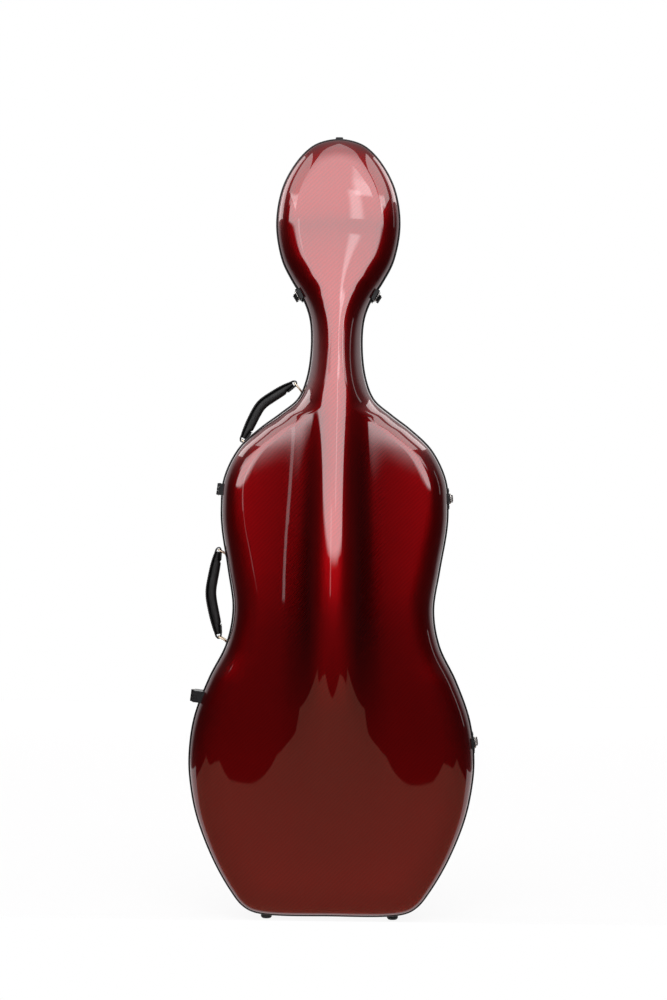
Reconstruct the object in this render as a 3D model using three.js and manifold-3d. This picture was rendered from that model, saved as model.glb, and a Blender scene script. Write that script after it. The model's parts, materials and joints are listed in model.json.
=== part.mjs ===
// A full-size hard case for a cello, standing closed on its feet. Millimetres, +Z up, +X to the
// right as seen from the front. The lid faces -Y and the deeper base faces +Y.
import * as THREE from "three";
import { mergeVertices } from "three/addons/utils/BufferGeometryUtils.js";
import Module from "manifold-3d";

const wasm = await Module();
wasm.setup();

// Driving sizes of the case, seen from the front
const caseLength = 1331;
const footRise = 11.3;
const lowerBoutWidth = 486.6;
const waistWidth = 341.6;
const upperBoutWidth = 386.6;
const neckWidth = 84.6;
const headWidth = 208.6;

// Half widths up the case: share of the length, the width it follows, share of that width
const outlineShares = [
  [0, lowerBoutWidth, 0],
  [0.0033, lowerBoutWidth, 0.26],
  [0.0123, lowerBoutWidth, 0.307],
  [0.0317, lowerBoutWidth, 0.349],
  [0.0704, lowerBoutWidth, 0.41],
  [0.1221, lowerBoutWidth, 0.467],
  [0.161, lowerBoutWidth, 0.491],
  [0.1997, lowerBoutWidth, 0.5],
  [0.2514, lowerBoutWidth, 0.484],
  [0.3031, lowerBoutWidth, 0.433],
  [0.3483, waistWidth, 0.531],
  [0.3936, waistWidth, 0.5],
  [0.4452, waistWidth, 0.527],
  [0.4969, upperBoutWidth, 0.495],
  [0.5228, upperBoutWidth, 0.5],
  [0.5616, upperBoutWidth, 0.489],
  [0.6003, upperBoutWidth, 0.425],
  [0.6262, upperBoutWidth, 0.333],
  [0.6456, upperBoutWidth, 0.244],
  [0.665, neckWidth, 0.758],
  [0.6908, neckWidth, 0.586],
  [0.7296, neckWidth, 0.5],
  [0.7683, neckWidth, 0.528],
  [0.7942, neckWidth, 0.667],
  [0.8199, headWidth, 0.371],
  [0.8459, headWidth, 0.452],
  [0.891, headWidth, 0.5],
  [0.9364, headWidth, 0.456],
  [0.9687, headWidth, 0.35],
  [0.988, headWidth, 0.238],
  [0.9958, headWidth, 0.149],
  [1, headWidth, 0],
];

// Depth of each half from the seam, at places up the case
const lidDepthAtFoot = 30;
const lidDepthAtBridge = 75;
const lidDepthAtShoulder = 74;
const lidDepthAtHead = 48;
const lidDepthAtTop = 32;
const baseDepthAtFoot = 126;
const baseDepthAtLowerBout = 150;
const baseDepthAtWaist = 144;
const baseDepthAtUpperBout = 136;
const baseDepthAtNeck = 84;
const baseDepthAtHead = 98;
const baseDepthAtTop = 84;
const lidCrown = 4;
const baseCrown = 8;

// The half-round ridge down the middle of the lid
const ridgeRiseAtBridge = 48;
const ridgeHalfAtFoot = 80;
const ridgeHalfAtBridge = 47;
const ridgeHalfAtShoulder = 42;
const ridgeHalfAtNeck = 42;
const ridgeHalfAtHead = 60;
const ridgeFullness = 2.4;

// Places up the case as shares of its length, for the sizes above
const placeShares = {
  foot: 0,
  ridgeEnd: 0.03,
  ridgeBroad: 0.1,
  lowerBout: 0.2,
  waist: 0.4,
  bridge: 0.42,
  upperBout: 0.53,
  shoulder: 0.64,
  neck: 0.74,
  head: 0.89,
  top: 1,
};

// Walls, corners and clearances
const wall = 3;
const clearance = 0.3;
const lidCornerAtFoot = 56;
const lidCornerAtLowerBout = 60;
const lidCornerAtBridge = 44;
const lidCornerAtShoulder = 32;
const lidCornerAtNeck = 38;
const lidCornerAtTop = 40;
const baseCornerReach = 56;
const cornerDepth = 50;
const sideDraft = 0.07;
const footSpine = 150;
const narrowRoundShare = 0.9;
const leastLeanShare = 0.45;
const stationsPerSide = 32;
const turnReach = 80;
const cutPast = 1;
const wireBendShare = 1.4;

// Edging, seal and lining
const rimThickness = 2.4;
const rimDepth = 9;
const rimFloor = 2;
const seamHalf = 0.4;
const sealWidth = 4;
const sealLip = 4;
const liningThickness = 6;

// Colours and finishes
const lacquer = { color: 0x7a0710, roughness: 0.18, metalness: 0.25 };
const blackEdge = { color: 0x101113, roughness: 0.35, metalness: 0.1 };
const blackMetal = { color: 0x18191b, roughness: 0.35, metalness: 0.8 };
const nickel = { color: 0xb9bcc0, roughness: 0.25, metalness: 1 };
const brassWire = { color: 0xb8a27a, roughness: 0.28, metalness: 1 };
const rubber = { color: 0x131313, roughness: 0.85, metalness: 0 };
const pile = { color: 0x2a2b30, roughness: 0.95, metalness: 0 };
const webbing = { color: 0x141416, roughness: 0.9, metalness: 0 };
const leather = { color: 0x17181a, roughness: 0.5, metalness: 0 };

const part = new THREE.Group();
const finish = (look) => new THREE.MeshStandardMaterial(look);

// A closed solid from triangles given as corner positions and index triples. Corners that meet are
// one, and triangles that have shrunk to a line are left out.
function solidFrom(positions, triangles) {
  const loose = new THREE.BufferGeometry();
  loose.setAttribute("position", new THREE.Float32BufferAttribute(positions, 3));
  loose.setIndex(triangles);
  const joined = mergeVertices(loose, 1e-4);
  const kept = [];
  const index = joined.index.array;
  for (let i = 0; i < index.length; i += 3) {
    const [a, b, c] = [index[i], index[i + 1], index[i + 2]];
    if (a !== b && b !== c && c !== a) kept.push(a, b, c);
  }
  const build = (triVerts) =>
    new wasm.Manifold(
      new wasm.Mesh({
        numProp: 3,
        vertProperties: joined.attributes.position.array,
        triVerts: new Uint32Array(triVerts),
      }),
    );
  const solid = build(kept);
  if (solid.volume() > 0) return solid;
  const turned = [];
  for (let i = 0; i < kept.length; i += 3) turned.push(kept[i], kept[i + 2], kept[i + 1]);
  return build(turned);
}

function solidOf(geometry) {
  const bare = geometry.clone();
  bare.deleteAttribute("normal");
  bare.deleteAttribute("uv");
  const joined = mergeVertices(bare, 1e-4);
  return solidFrom(joined.attributes.position.array, [...joined.index.array]);
}

function geometryOf(solid) {
  const mesh = solid.getMesh();
  const corners = [];
  for (let i = 0; i < mesh.numVert; i++) {
    corners.push(...mesh.vertProperties.slice(i * mesh.numProp, i * mesh.numProp + 3));
  }
  const geometry = new THREE.BufferGeometry();
  geometry.setAttribute("position", new THREE.Float32BufferAttribute(corners, 3));
  geometry.setIndex([...mesh.triVerts]);
  const flat = geometry.toNonIndexed();
  flat.computeVertexNormals();
  return flat;
}

function addPiece(group, name, solid, look) {
  const piece = new THREE.Mesh(geometryOf(solid), finish(look));
  piece.name = name;
  group.add(piece);
  return piece;
}

// Simple shapes: a box between two corners, and a round rod along one axis
function box(x0, x1, y0, y1, z0, z1) {
  const shape = new THREE.BoxGeometry(x1 - x0, y1 - y0, z1 - z0);
  return solidOf(shape.translate((x0 + x1) / 2, (y0 + y1) / 2, (z0 + z1) / 2));
}

function rod(radius, start, end, x, y, sides) {
  const shape = new THREE.CylinderGeometry(radius, radius, end - start, sides);
  shape.rotateX(Math.PI / 2);
  return solidOf(shape.translate(x, y, (start + end) / 2));
}

// Height on the case of a share of its length
const heightAt = (share) => footRise + share * caseLength;

// The value at a height of a size that changes smoothly between places up the case
function along(stations, z) {
  const share = (z - footRise) / caseLength;
  const first = stations[0];
  const last = stations[stations.length - 1];
  if (share <= first[0]) return first[1];
  if (share >= last[0]) return last[1];
  const next = stations.findIndex((station) => station[0] > share);
  const [a, b] = [stations[next - 1], stations[next]];
  const t = (share - a[0]) / (b[0] - a[0]);
  return a[1] + (b[1] - a[1]) * t * t * (3 - 2 * t);
}

const lidDepths = [
  [placeShares.foot, lidDepthAtFoot],
  [placeShares.bridge, lidDepthAtBridge],
  [placeShares.shoulder, lidDepthAtShoulder],
  [placeShares.head, lidDepthAtHead],
  [placeShares.top, lidDepthAtTop],
];
const baseDepths = [
  [placeShares.foot, baseDepthAtFoot],
  [placeShares.lowerBout, baseDepthAtLowerBout],
  [placeShares.waist, baseDepthAtWaist],
  [placeShares.upperBout, baseDepthAtUpperBout],
  [placeShares.neck, baseDepthAtNeck],
  [placeShares.head, baseDepthAtHead],
  [placeShares.top, baseDepthAtTop],
];
const ridgeRises = [
  [placeShares.ridgeEnd, 0],
  [placeShares.bridge, ridgeRiseAtBridge],
  [placeShares.head, 0],
];
const ridgeHalves = [
  [placeShares.ridgeBroad, ridgeHalfAtFoot],
  [placeShares.bridge, ridgeHalfAtBridge],
  [placeShares.shoulder, ridgeHalfAtShoulder],
  [placeShares.neck, ridgeHalfAtNeck],
  [placeShares.head, ridgeHalfAtHead],
];

const lidCorners = [
  [placeShares.foot, lidCornerAtFoot],
  [placeShares.lowerBout, lidCornerAtLowerBout],
  [placeShares.bridge, lidCornerAtBridge],
  [placeShares.shoulder, lidCornerAtShoulder],
  [placeShares.neck, lidCornerAtNeck],
  [placeShares.top, lidCornerAtTop],
];
const baseCorners = [[placeShares.foot, baseCornerReach]];

// The outline in the seam plane: a smooth closed curve, drawn up the right side and down the left
function outlineCurve() {
  const right = outlineShares.map(
    ([share, width, part]) => new THREE.Vector3(part * width, heightAt(share), 0),
  );
  const left = right.slice(1, -1).reverse();
  const mirrored = left.map((point) => new THREE.Vector3(-point.x, point.y, 0));
  return new THREE.CatmullRomCurve3([...right, ...mirrored], true, "centripetal");
}

const curveSteps = 2480;
const fineOutline = outlineCurve()
  .getPoints(curveSteps)
  .slice(0, curveSteps / 2 + 1);

// Stations on the outline lie closer where it turns, and are the same on both sides
function outlineStations() {
  const travel = [0];
  let heading = 0;
  for (let i = 1; i < fineOutline.length; i++) {
    const step = new THREE.Vector2(
      fineOutline[i].x - fineOutline[i - 1].x,
      fineOutline[i].y - fineOutline[i - 1].y,
    );
    const turn = step.length() > 0 ? Math.abs(step.angle() - heading) : 0;
    const bend = Math.min(turn, 2 * Math.PI - turn);
    heading = step.angle();
    travel.push(travel[i - 1] + step.length() + turnReach * bend);
  }
  const right = [];
  for (let i = 0; i <= stationsPerSide; i++) {
    const goal = (travel[travel.length - 1] * i) / stationsPerSide;
    const at = Math.min(
      travel.findIndex((length) => length >= goal - 1e-9),
      fineOutline.length - 1,
    );
    const isEnd = i === 0 || i === stationsPerSide;
    right.push(new THREE.Vector2(isEnd ? 0 : fineOutline[at].x, fineOutline[at].y));
  }
  const left = right.slice(1, -1).reverse();
  return [...right, ...left.map((point) => new THREE.Vector2(-point.x, point.y))];
}

// For each point of a closed loop: its outward direction, stretched so that a shifted copy of the
// loop keeps the same distance from every side
function outwards(points) {
  return points.map((point, i) => {
    const before = points[(i + points.length - 1) % points.length];
    const after = points[(i + 1) % points.length];
    const a = new THREE.Vector2(point.y - before.y, before.x - point.x).normalize();
    const b = new THREE.Vector2(after.y - point.y, point.x - after.x).normalize();
    const middle = a.clone().add(b).normalize();
    return middle.divideScalar(middle.dot(a));
  });
}

const stations = outlineStations();
const stationNormals = outwards(stations);

// A solid bar that follows a closed loop in the X-Z plane. Its section is a list of steps out from
// the loop and places along Y.
function loopBar(points, section) {
  const normals = outwards(points);
  const positions = [];
  points.forEach((point, i) =>
    section.forEach(([out, y]) =>
      positions.push(point.x + normals[i].x * out, y, point.y + normals[i].y * out),
    ),
  );
  const triangles = [];
  const size = section.length;
  for (let i = 0; i < points.length; i++) {
    const j = (i + 1) % points.length;
    for (let k = 0; k < size; k++) {
      const m = (k + 1) % size;
      triangles.push(i * size + k, j * size + k, j * size + m);
      triangles.push(i * size + k, j * size + m, i * size + m);
    }
  }
  return solidFrom(positions, triangles);
}

// The two halves of the case. The lid opens towards -Y and the base towards +Y.
const lidHalf = {
  side: -1,
  depths: lidDepths,
  crown: lidCrown,
  corners: lidCorners,
  ridge: true,
  faceShares: [0.32, 0.56, 0.73, 0.86, 0.95, 1],
};
const baseHalf = {
  side: 1,
  depths: baseDepths,
  crown: baseCrown,
  corners: baseCorners,
  ridge: false,
  faceShares: [0.5, 1],
};

// Rings of a half, from its edge to the line along its middle
const edgeRing = { kind: "edge" };
const straightRing = { kind: "straight" };
const cornerRing = (degrees) => ({ kind: "corner", turn: THREE.MathUtils.degToRad(degrees) });
const faceRings = (half) => half.faceShares.map((share) => ({ kind: "face", share }));
const shellRings = (half) => [
  edgeRing,
  straightRing,
  ...[0, 30, 60, 90].map(cornerRing),
  ...faceRings(half),
];

// One point of a half: its station, its ring, how far the surface lies inside the outer one, and
// where its edge lies
function halfPoint(half, station, ring, inset, edgeAt) {
  const normal = stationNormals[station];
  const start = stations[station].clone().addScaledVector(normal, -inset);
  const spineLow = footRise + footSpine;
  const spineHigh = footRise + caseLength - headWidth / 2;
  const spine = new THREE.Vector2(0, THREE.MathUtils.clamp(stations[station].y, spineLow, spineHigh));
  const inward = spine.clone().sub(start);
  const reach = inward.length();
  inward.normalize();
  const lean = Math.max(-inward.dot(normal.clone().normalize()), leastLeanShare);
  const cornerIn = Math.min(along(half.corners, start.y) - inset, reach * lean * narrowRoundShare);
  const straightTo = rimDepth + clearance;
  const cornerAt = (z) => Math.min(cornerDepth, along(half.depths, z) - straightTo - clearance) - inset;
  const wallAt = (z) => along(half.depths, z) - inset - cornerAt(z);
  const draft = (wallAt(start.y) - straightTo) * sideDraft;
  const faceFrom = (draft + cornerIn) / lean;
  let travel = 0;
  if (ring.kind === "corner") travel = (draft + cornerIn * (1 - Math.cos(ring.turn))) / lean;
  if (ring.kind === "face") travel = faceFrom + (reach - faceFrom) * ring.share;
  travel = Math.min(travel, reach);
  const place = ring.share === 1 ? spine : start.clone().addScaledVector(inward, travel);
  const { x, y: z } = place;
  let depth = edgeAt;
  if (ring.kind === "straight") depth = straightTo;
  if (ring.kind === "corner") depth = wallAt(z) + cornerAt(z) * Math.sin(ring.turn);
  if (ring.kind === "face") depth = wallAt(z) + cornerAt(z);
  const progress = travel / reach;
  depth += half.crown * (2 * progress - progress * progress) * (travel > 0 ? 1 : 0);
  if (half.ridge && travel > 0) {
    const spread = Math.abs(x / along(ridgeHalves, z)) ** ridgeFullness;
    depth += along(ridgeRises, z) * Math.exp(-spread) * (1 - (1 - progress) ** 4);
  }
  return [x, half.side * depth, z];
}

// A half's surface as a closed solid: a wall between two surfaces, or filled to its edge plane
function halfSolid(half, outer, inner) {
  const positions = [];
  const triangles = [];
  const count = stations.length;
  const addSurface = ({ rings, inset, edgeAt }, turned) => {
    const first = positions.length / 3;
    rings.forEach((ring) =>
      stations.forEach((_, station) =>
        positions.push(...halfPoint(half, station, ring, inset, edgeAt)),
      ),
    );
    for (let r = 0; r + 1 < rings.length; r++) {
      for (let i = 0; i < count; i++) {
        const j = (i + 1) % count;
        const [a, b] = [first + r * count + i, first + r * count + j];
        const [c, d] = [a + count, b + count];
        const onLeft = i >= stationsPerSide;
        const faces = onLeft ? [a, b, d, a, d, c] : [a, b, c, b, d, c];
        triangles.push(...(turned ? faces.reverse() : faces));
      }
    }
    return first;
  };
  const outerEdge = addSurface(outer, false);
  const innerEdge = addSurface(inner, true);
  for (let i = 0; i < count; i++) {
    const j = (i + 1) % count;
    triangles.push(outerEdge + i, innerEdge + i, outerEdge + j);
    triangles.push(outerEdge + j, innerEdge + i, innerEdge + j);
  }
  return solidFrom(positions, triangles);
}

// Everything inside one surface of a half, up to its edge plane
function filledHalf(half, inset, edgeAt, rings) {
  const flatRings = [edgeRing, { kind: "flat", share: 1 }];
  return halfSolid(half, { rings, inset, edgeAt }, { rings: flatRings, inset, edgeAt });
}

// Shells, with their edges standing on the floor of the edging
const shellEdge = seamHalf + rimFloor + clearance;
function shell(half) {
  const rings = shellRings(half);
  const outer = { rings, inset: 0, edgeAt: shellEdge };
  return halfSolid(half, outer, { rings, inset: wall, edgeAt: shellEdge });
}

// Edging: an angle that covers the shell's edge and the first of its outer face
function edging(side) {
  const rimOut = clearance + rimThickness;
  const section = [
    [rimOut, seamHalf],
    [rimOut, rimDepth],
    [clearance, rimDepth],
    [clearance, seamHalf + rimFloor],
    [-wall, seamHalf + rimFloor],
    [-wall, seamHalf],
  ];
  return loopBar(
    stations,
    section.map(([out, y]) => [out, side * y]),
  );
}

// Rubber strip inside the base's edge, which stands up into the lid
const sealOut = -wall - clearance;
const sealStrip = loopBar(stations, [
  [sealOut, -sealLip],
  [sealOut, rimDepth],
  [sealOut - sealWidth, rimDepth],
  [sealOut - sealWidth, -sealLip],
]);

// Linings: foam with a pile face, glued to the inside of each shell
const liningInset = wall + clearance;
const cavityInset = liningInset + liningThickness;
const liningEdge = rimDepth + clearance;
function lining(half) {
  const faces = faceRings(half);
  const outerRings = [edgeRing, ...[0, 60, 90].map(cornerRing), ...faces];
  const innerRings = [edgeRing, ...[0, 90].map(cornerRing), ...faces.slice(half.ridge ? 1 : -1)];
  const outer = { rings: outerRings, inset: liningInset, edgeAt: liningEdge };
  return halfSolid(half, outer, { rings: innerRings, inset: cavityInset, edgeAt: liningEdge });
}

const baseBody = new THREE.Group();
const lidBody = new THREE.Group();
part.add(baseBody, lidBody);

addPiece(baseBody, "base_shell", shell(baseHalf), lacquer);
addPiece(baseBody, "base_rim", edging(1), blackEdge);
addPiece(baseBody, "seal_strip", sealStrip, rubber);
addPiece(baseBody, "base_lining", lining(baseHalf), pile);
addPiece(lidBody, "lid_shell", shell(lidHalf), lacquer);
addPiece(lidBody, "lid_rim", edging(-1), blackEdge);
addPiece(lidBody, "lid_lining", lining(lidHalf), pile);

// What fittings sit on: both halves and their edging, all grown by the clearance
const rimSeatOut = 2 * clearance + rimThickness;
const rimSeat = loopBar(stations, [
  [rimSeatOut, -rimDepth - clearance],
  [rimSeatOut, rimDepth + clearance],
  [-wall, rimDepth + clearance],
  [-wall, -rimDepth - clearance],
]);
const caseSeat = filledHalf(baseHalf, -clearance, 0, shellRings(baseHalf))
  .add(filledHalf(lidHalf, -clearance, 0, shellRings(lidHalf)))
  .add(rimSeat);

// What lies inside the linings, less the clearance
const hollow = (half, rings) => filledHalf(half, cavityInset + clearance, liningEdge, rings);
const hollowWall = [edgeRing, cornerRing(0), cornerRing(90)];
const baseHollow = hollow(baseHalf, [...hollowWall, ...faceRings(baseHalf).slice(-1)]);
const lidHollow = hollow(lidHalf, [...hollowWall, ...faceRings(lidHalf).slice(1)]);

// The point of the shells' edge at a height, on the right (1) or left (-1), and the direction out
// of the smooth outline there
function outlineAt(side, z) {
  const next = fineOutline.findIndex((point) => point.y >= z);
  const [a, b] = [fineOutline[next - 1], fineOutline[next]];
  const out = new THREE.Vector2(b.y - a.y, a.x - b.x).normalize();
  const upper = stations.findIndex((point) => point.y >= z);
  const [c, d] = [stations[upper - 1], stations[upper]];
  const t = (z - c.y) / (d.y - c.y);
  return {
    point: new THREE.Vector2(side * (c.x + (d.x - c.x) * t), z),
    out: new THREE.Vector2(side * out.x, out.y),
  };
}

// A group placed on the case: local X points outwards, local Y to the back, local Z along the edge
function fittingGroup(parent, x, y, z, out) {
  const group = new THREE.Group();
  const outward = new THREE.Vector3(out.x, 0, out.y);
  const back = new THREE.Vector3(0, 1, 0);
  const axes = new THREE.Matrix4().makeBasis(outward, back, outward.clone().cross(back));
  group.quaternion.setFromRotationMatrix(axes);
  group.position.set(x, y, z);
  parent.add(group);
  group.updateMatrix();
  return group;
}

// A solid of a fitting group, cut so that it sits on the case
function seated(group, solid) {
  return solid.subtract(caseSeat.transform(group.matrix.clone().invert().elements));
}

// A closed wire loop: a rectangle with cut corners in a plane, given as its corners' reach along
// the first direction, its half width along the second, and where the plane lies along the third
function wireLoop(from, to, half, radius, sides, along1, along2) {
  const cut = radius * wireBendShare;
  const points = [
    [from + cut, -half],
    [to - cut, -half],
    [to, cut - half],
    [to, half - cut],
    [to - cut, half],
    [from + cut, half],
    [from, half - cut],
    [from, cut - half],
  ].map(([x, z]) => new THREE.Vector2(x, z));
  const section = [];
  for (let i = 0; i < sides; i++) {
    const turn = (2 * Math.PI * (i + 0.5)) / sides;
    section.push([radius * Math.cos(turn), radius * Math.sin(turn)]);
  }
  const turned = new THREE.Matrix4().makeBasis(along1, along2.clone().cross(along1), along2);
  return loopBar(points, section).transform(turned.elements);
}

// Hinges on the left. Their pins share one line, which stands clear of both bouts.
const hingeAtShares = { upper: 0.548, lower: 0.281 };
const knuckleRadius = 4;
const hingePinRadius = 1.5;
const hingeLength = 20;
const middleKnuckle = 6;
const leafReach = 24;
const leafThickness = 2.4;
const pinHead = 1;

// The straight line that touches both bouts: its lean and its distance from the origin
function boutLine() {
  const split = heightAt(placeShares.waist);
  const low = fineOutline.filter((point) => point.y < split);
  const high = fineOutline.filter((point) => point.y >= split);
  const reach = (points, lean) =>
    Math.max(...points.map((point) => point.x * Math.cos(lean) + point.y * Math.sin(lean)));
  let [least, most] = [0, Math.PI / 4];
  while (most - least > 1e-9) {
    const lean = (least + most) / 2;
    if (reach(high, lean) > reach(low, lean)) most = lean;
    else least = lean;
  }
  return { lean: least, reach: reach(low, least) };
}
const bouts = boutLine();
const hingeOut = new THREE.Vector2(-Math.cos(bouts.lean), Math.sin(bouts.lean));
const hingeLineReach = bouts.reach + rimSeatOut + knuckleRadius;

// Each leaf is a pressed plate with a flange at both ends that stands on the case.
function hinge(name, z) {
  const x = -(hingeLineReach - z * Math.sin(bouts.lean)) / Math.cos(bouts.lean);
  const half = hingeLength / 2;
  const middle = middleKnuckle / 2;
  const knuckle = (from, to, radius) => rod(radius, from, to, 0, 0, 14);
  const bore = knuckle(-hingeLength, hingeLength, hingePinRadius + clearance);
  const leafOuter = leafThickness - knuckleRadius;
  const leafInner = leafOuter - leafThickness;
  const leaf = (side) => {
    const near = Math.min(side * seamHalf * 2, side * leafReach);
    const far = Math.max(side * seamHalf * 2, side * leafReach);
    return box(leafInner, leafOuter, near, far, -half, half)
      .add(box(-leafReach, leafInner, near, far, half - leafThickness, half))
      .add(box(-leafReach, leafInner, near, far, -half, leafThickness - half));
  };
  const around = knuckleRadius + clearance;
  const baseGroup = fittingGroup(baseBody, x, 0, z, hingeOut);
  const baseLeaf = seated(baseGroup, leaf(1))
    .add(knuckle(middle + clearance, half, knuckleRadius))
    .add(knuckle(-half, -middle - clearance, knuckleRadius))
    .subtract(knuckle(-middle - clearance, middle + clearance, around))
    .subtract(bore);
  addPiece(baseGroup, `${name}_base_leaf`, baseLeaf, blackMetal);
  const pin = rod(hingePinRadius, -half - pinHead, half + pinHead, 0, 0, 12);
  addPiece(baseGroup, `${name}_pin`, pin, nickel);
  const lidGroup = fittingGroup(lidBody, x, 0, z, hingeOut);
  const lidLeaf = seated(lidGroup, leaf(-1))
    .subtract(knuckle(middle, half + clearance, around))
    .subtract(knuckle(-half - clearance, -middle, around))
    .add(knuckle(-middle, middle, knuckleRadius))
    .subtract(bore);
  addPiece(lidGroup, `${name}_lid_leaf`, lidLeaf, blackMetal);
}
hinge("upper_hinge", heightAt(hingeAtShares.upper));
hinge("lower_hinge", heightAt(hingeAtShares.lower));

// Draw latches: a lever on the base pulls a wire bail over the keeper on the lid
const latchAtShares = { upper: 0.539, lower: 0.224, neck: 0.8015 };
const largePlateLength = 36;
const smallPlateLength = 24;
const latchPlateThickness = 1.8;
const plateFrom = 1.5;
const plateTo = 34;
const keeperTo = 20;
const keeperLength = 18;
const leverHalf = 4.5;
const leverPivotRise = 4.4;
const leverPivotBack = 14;
const leverReach = 24;
const leverThickness = 2.6;
const leverBarrel = 3;
const pivotPinRadius = 1.2;
const bailRise = 1.8;
const bailBack = 7;
const bailWire = 1.1;
const bailFront = 9.5;
const earThickness = 1.6;
const earHalf = 3.5;
const earRim = 1;
const thumbHalf = 6.5;
const thumbDepth = 3.5;
const thumbRise = 1.6;
const postThickness = 3;
const postHalf = 4.5;
const seatDeep = 8;
const webHalf = 3;

function latch(name, side, z, plateLength, leverLook) {
  const { point, out } = outlineAt(side, z);
  const place = (parent) => fittingGroup(parent, point.x, 0, point.y, out);
  const plateTop = rimSeatOut + latchPlateThickness;
  const pivot = { x: plateTop + leverPivotRise, y: leverPivotBack };
  const bailPin = { x: plateTop + bailRise, y: leverPivotBack + bailBack };
  const earFrom = leverHalf + clearance;
  const earTo = earFrom + earThickness;
  const bailHalf = earTo + clearance + bailWire;
  const pinBore = rod(pivotPinRadius + clearance, -earTo - cutPast, earTo + cutPast, pivot.x, pivot.y, 12);
  const earTop = pivot.x + pivotPinRadius + earRim;
  const ear = (from, to) => box(rimThickness, earTop, pivot.y - earHalf, pivot.y + earHalf, from, to);

  const baseGroup = place(baseBody);
  const plate = box(-seatDeep, plateTop, plateFrom, plateTo, -plateLength / 2, plateLength / 2)
    .add(ear(earFrom, earTo))
    .add(ear(-earTo, -earFrom))
    .subtract(pinBore);
  addPiece(baseGroup, `${name}_plate`, seated(baseGroup, plate), blackMetal);
  const pin = rod(pivotPinRadius, -earTo, earTo, pivot.x, pivot.y, 10);
  addPiece(baseGroup, `${name}_pin`, pin, nickel);

  const leverGroup = new THREE.Group();
  leverGroup.position.set(pivot.x, pivot.y, 0);
  baseGroup.add(leverGroup);
  const bail = { x: bailPin.x - pivot.x, y: bailPin.y - pivot.y };
  const webBottom = bail.x - bailWire - clearance * 2;
  const armFrom = leverThickness / 2 - leverBarrel + leverThickness / 2 - clearance;
  const lever = rod(leverBarrel, -leverHalf, leverHalf, 0, 0, 14)
    .add(box(armFrom, armFrom + leverThickness, 0, leverReach, -leverHalf, leverHalf))
    .add(box(webBottom, armFrom + cutPast, bail.y - webHalf, bail.y + webHalf, -leverHalf, leverHalf))
    .add(
      box(
        armFrom,
        armFrom + leverThickness + thumbRise,
        leverReach - thumbDepth,
        leverReach,
        -thumbHalf,
        thumbHalf,
      ),
    )
    .subtract(rod(pivotPinRadius + clearance, -bailHalf, bailHalf, 0, 0, 12))
    .subtract(rod(bailWire + clearance, -bailHalf, bailHalf, bail.x, bail.y, 12));
  addPiece(leverGroup, `${name}_lever`, lever, leverLook);

  const bailGroup = new THREE.Group();
  bailGroup.position.set(bail.x, bail.y, 0);
  leverGroup.add(bailGroup);
  const front = new THREE.Vector3(0, -1, 0);
  const edge = new THREE.Vector3(0, 0, 1);
  const loop = wireLoop(0, bailPin.y + bailFront, bailHalf, bailWire, 8, front, edge);
  addPiece(bailGroup, `${name}_bail`, loop, nickel);

  const lidGroup = place(lidBody);
  const postBack = bailFront - bailWire - clearance;
  const keeper = box(-seatDeep, plateTop, -keeperTo, -plateFrom, -keeperLength / 2, keeperLength / 2).add(
    box(
      rimThickness,
      bailPin.x + bailWire,
      -postBack,
      postThickness - postBack,
      -postHalf,
      postHalf,
    ),
  );
  addPiece(lidGroup, `${name}_keeper`, seated(lidGroup, keeper), blackMetal);
}
latch("upper_latch", 1, heightAt(latchAtShares.upper), largePlateLength, nickel);
latch("lower_latch", 1, heightAt(latchAtShares.lower), largePlateLength, nickel);
latch("right_neck_latch", 1, heightAt(latchAtShares.neck), smallPlateLength, blackMetal);
latch("left_neck_latch", -1, heightAt(latchAtShares.neck), smallPlateLength, blackMetal);

// A round rod that runs to the back
function crossRod(radius, start, end, x, z, sides) {
  const shape = new THREE.CylinderGeometry(radius, radius, end - start, sides);
  return solidOf(shape.translate(x, (start + end) / 2, z));
}

// Carrying handles on the left of the base: a stiff grip between two wire rings
const handleDepth = 35;
const ringWire = 1.5;
const ringHalf = 15;
const ringSlack = 1;
const bracketTube = 3;
const bracketPlateHalf = 9;
const bracketPlateDepthHalf = 15;
const bracketPivotRise = 2;
const gripThickness = 16;
const gripWidth = 23;
const gripEye = 4.4;
const longRing = 19.4;
const middleRing = 15.8;
const shortRing = 7.8;
const handles = {
  upper_handle: {
    topShare: 0.6754,
    bottomShare: 0.6068,
    topRing: longRing,
    bottomRing: shortRing,
    ringAngle: 130,
    riseShare: 0.125,
  },
  lower_handle: {
    topShare: 0.4637,
    bottomShare: 0.3502,
    topRing: middleRing,
    bottomRing: middleRing,
    ringAngle: 150.6,
    riseShare: 0.09,
  },
};

// The grip's form: shares of the way between its eyes, of its rise, and of its thickness
const gripShares = [
  [0, 0, 0.52],
  [0.06, 0.12, 0.58],
  [0.12, 0.27, 0.78],
  [0.22, 0.5, 0.95],
  [0.36, 0.8, 1],
  [0.45, 0.98, 1],
  [0.53, 1, 1],
  [0.63, 0.83, 1],
  [0.78, 0.48, 0.98],
  [0.89, 0.2, 0.78],
  [0.95, 0.08, 0.6],
  [1, 0, 0.52],
];
const gripSectionShares = [
  [1, 0.45],
  [0.8, 0.85],
  [0.4, 1],
  [-0.4, 1],
  [-0.8, 0.85],
  [-1, 0.45],
  [-1, -0.45],
  [-0.8, -0.85],
  [-0.4, -1],
  [0.4, -1],
  [0.8, -0.85],
  [1, -0.45],
];

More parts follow.
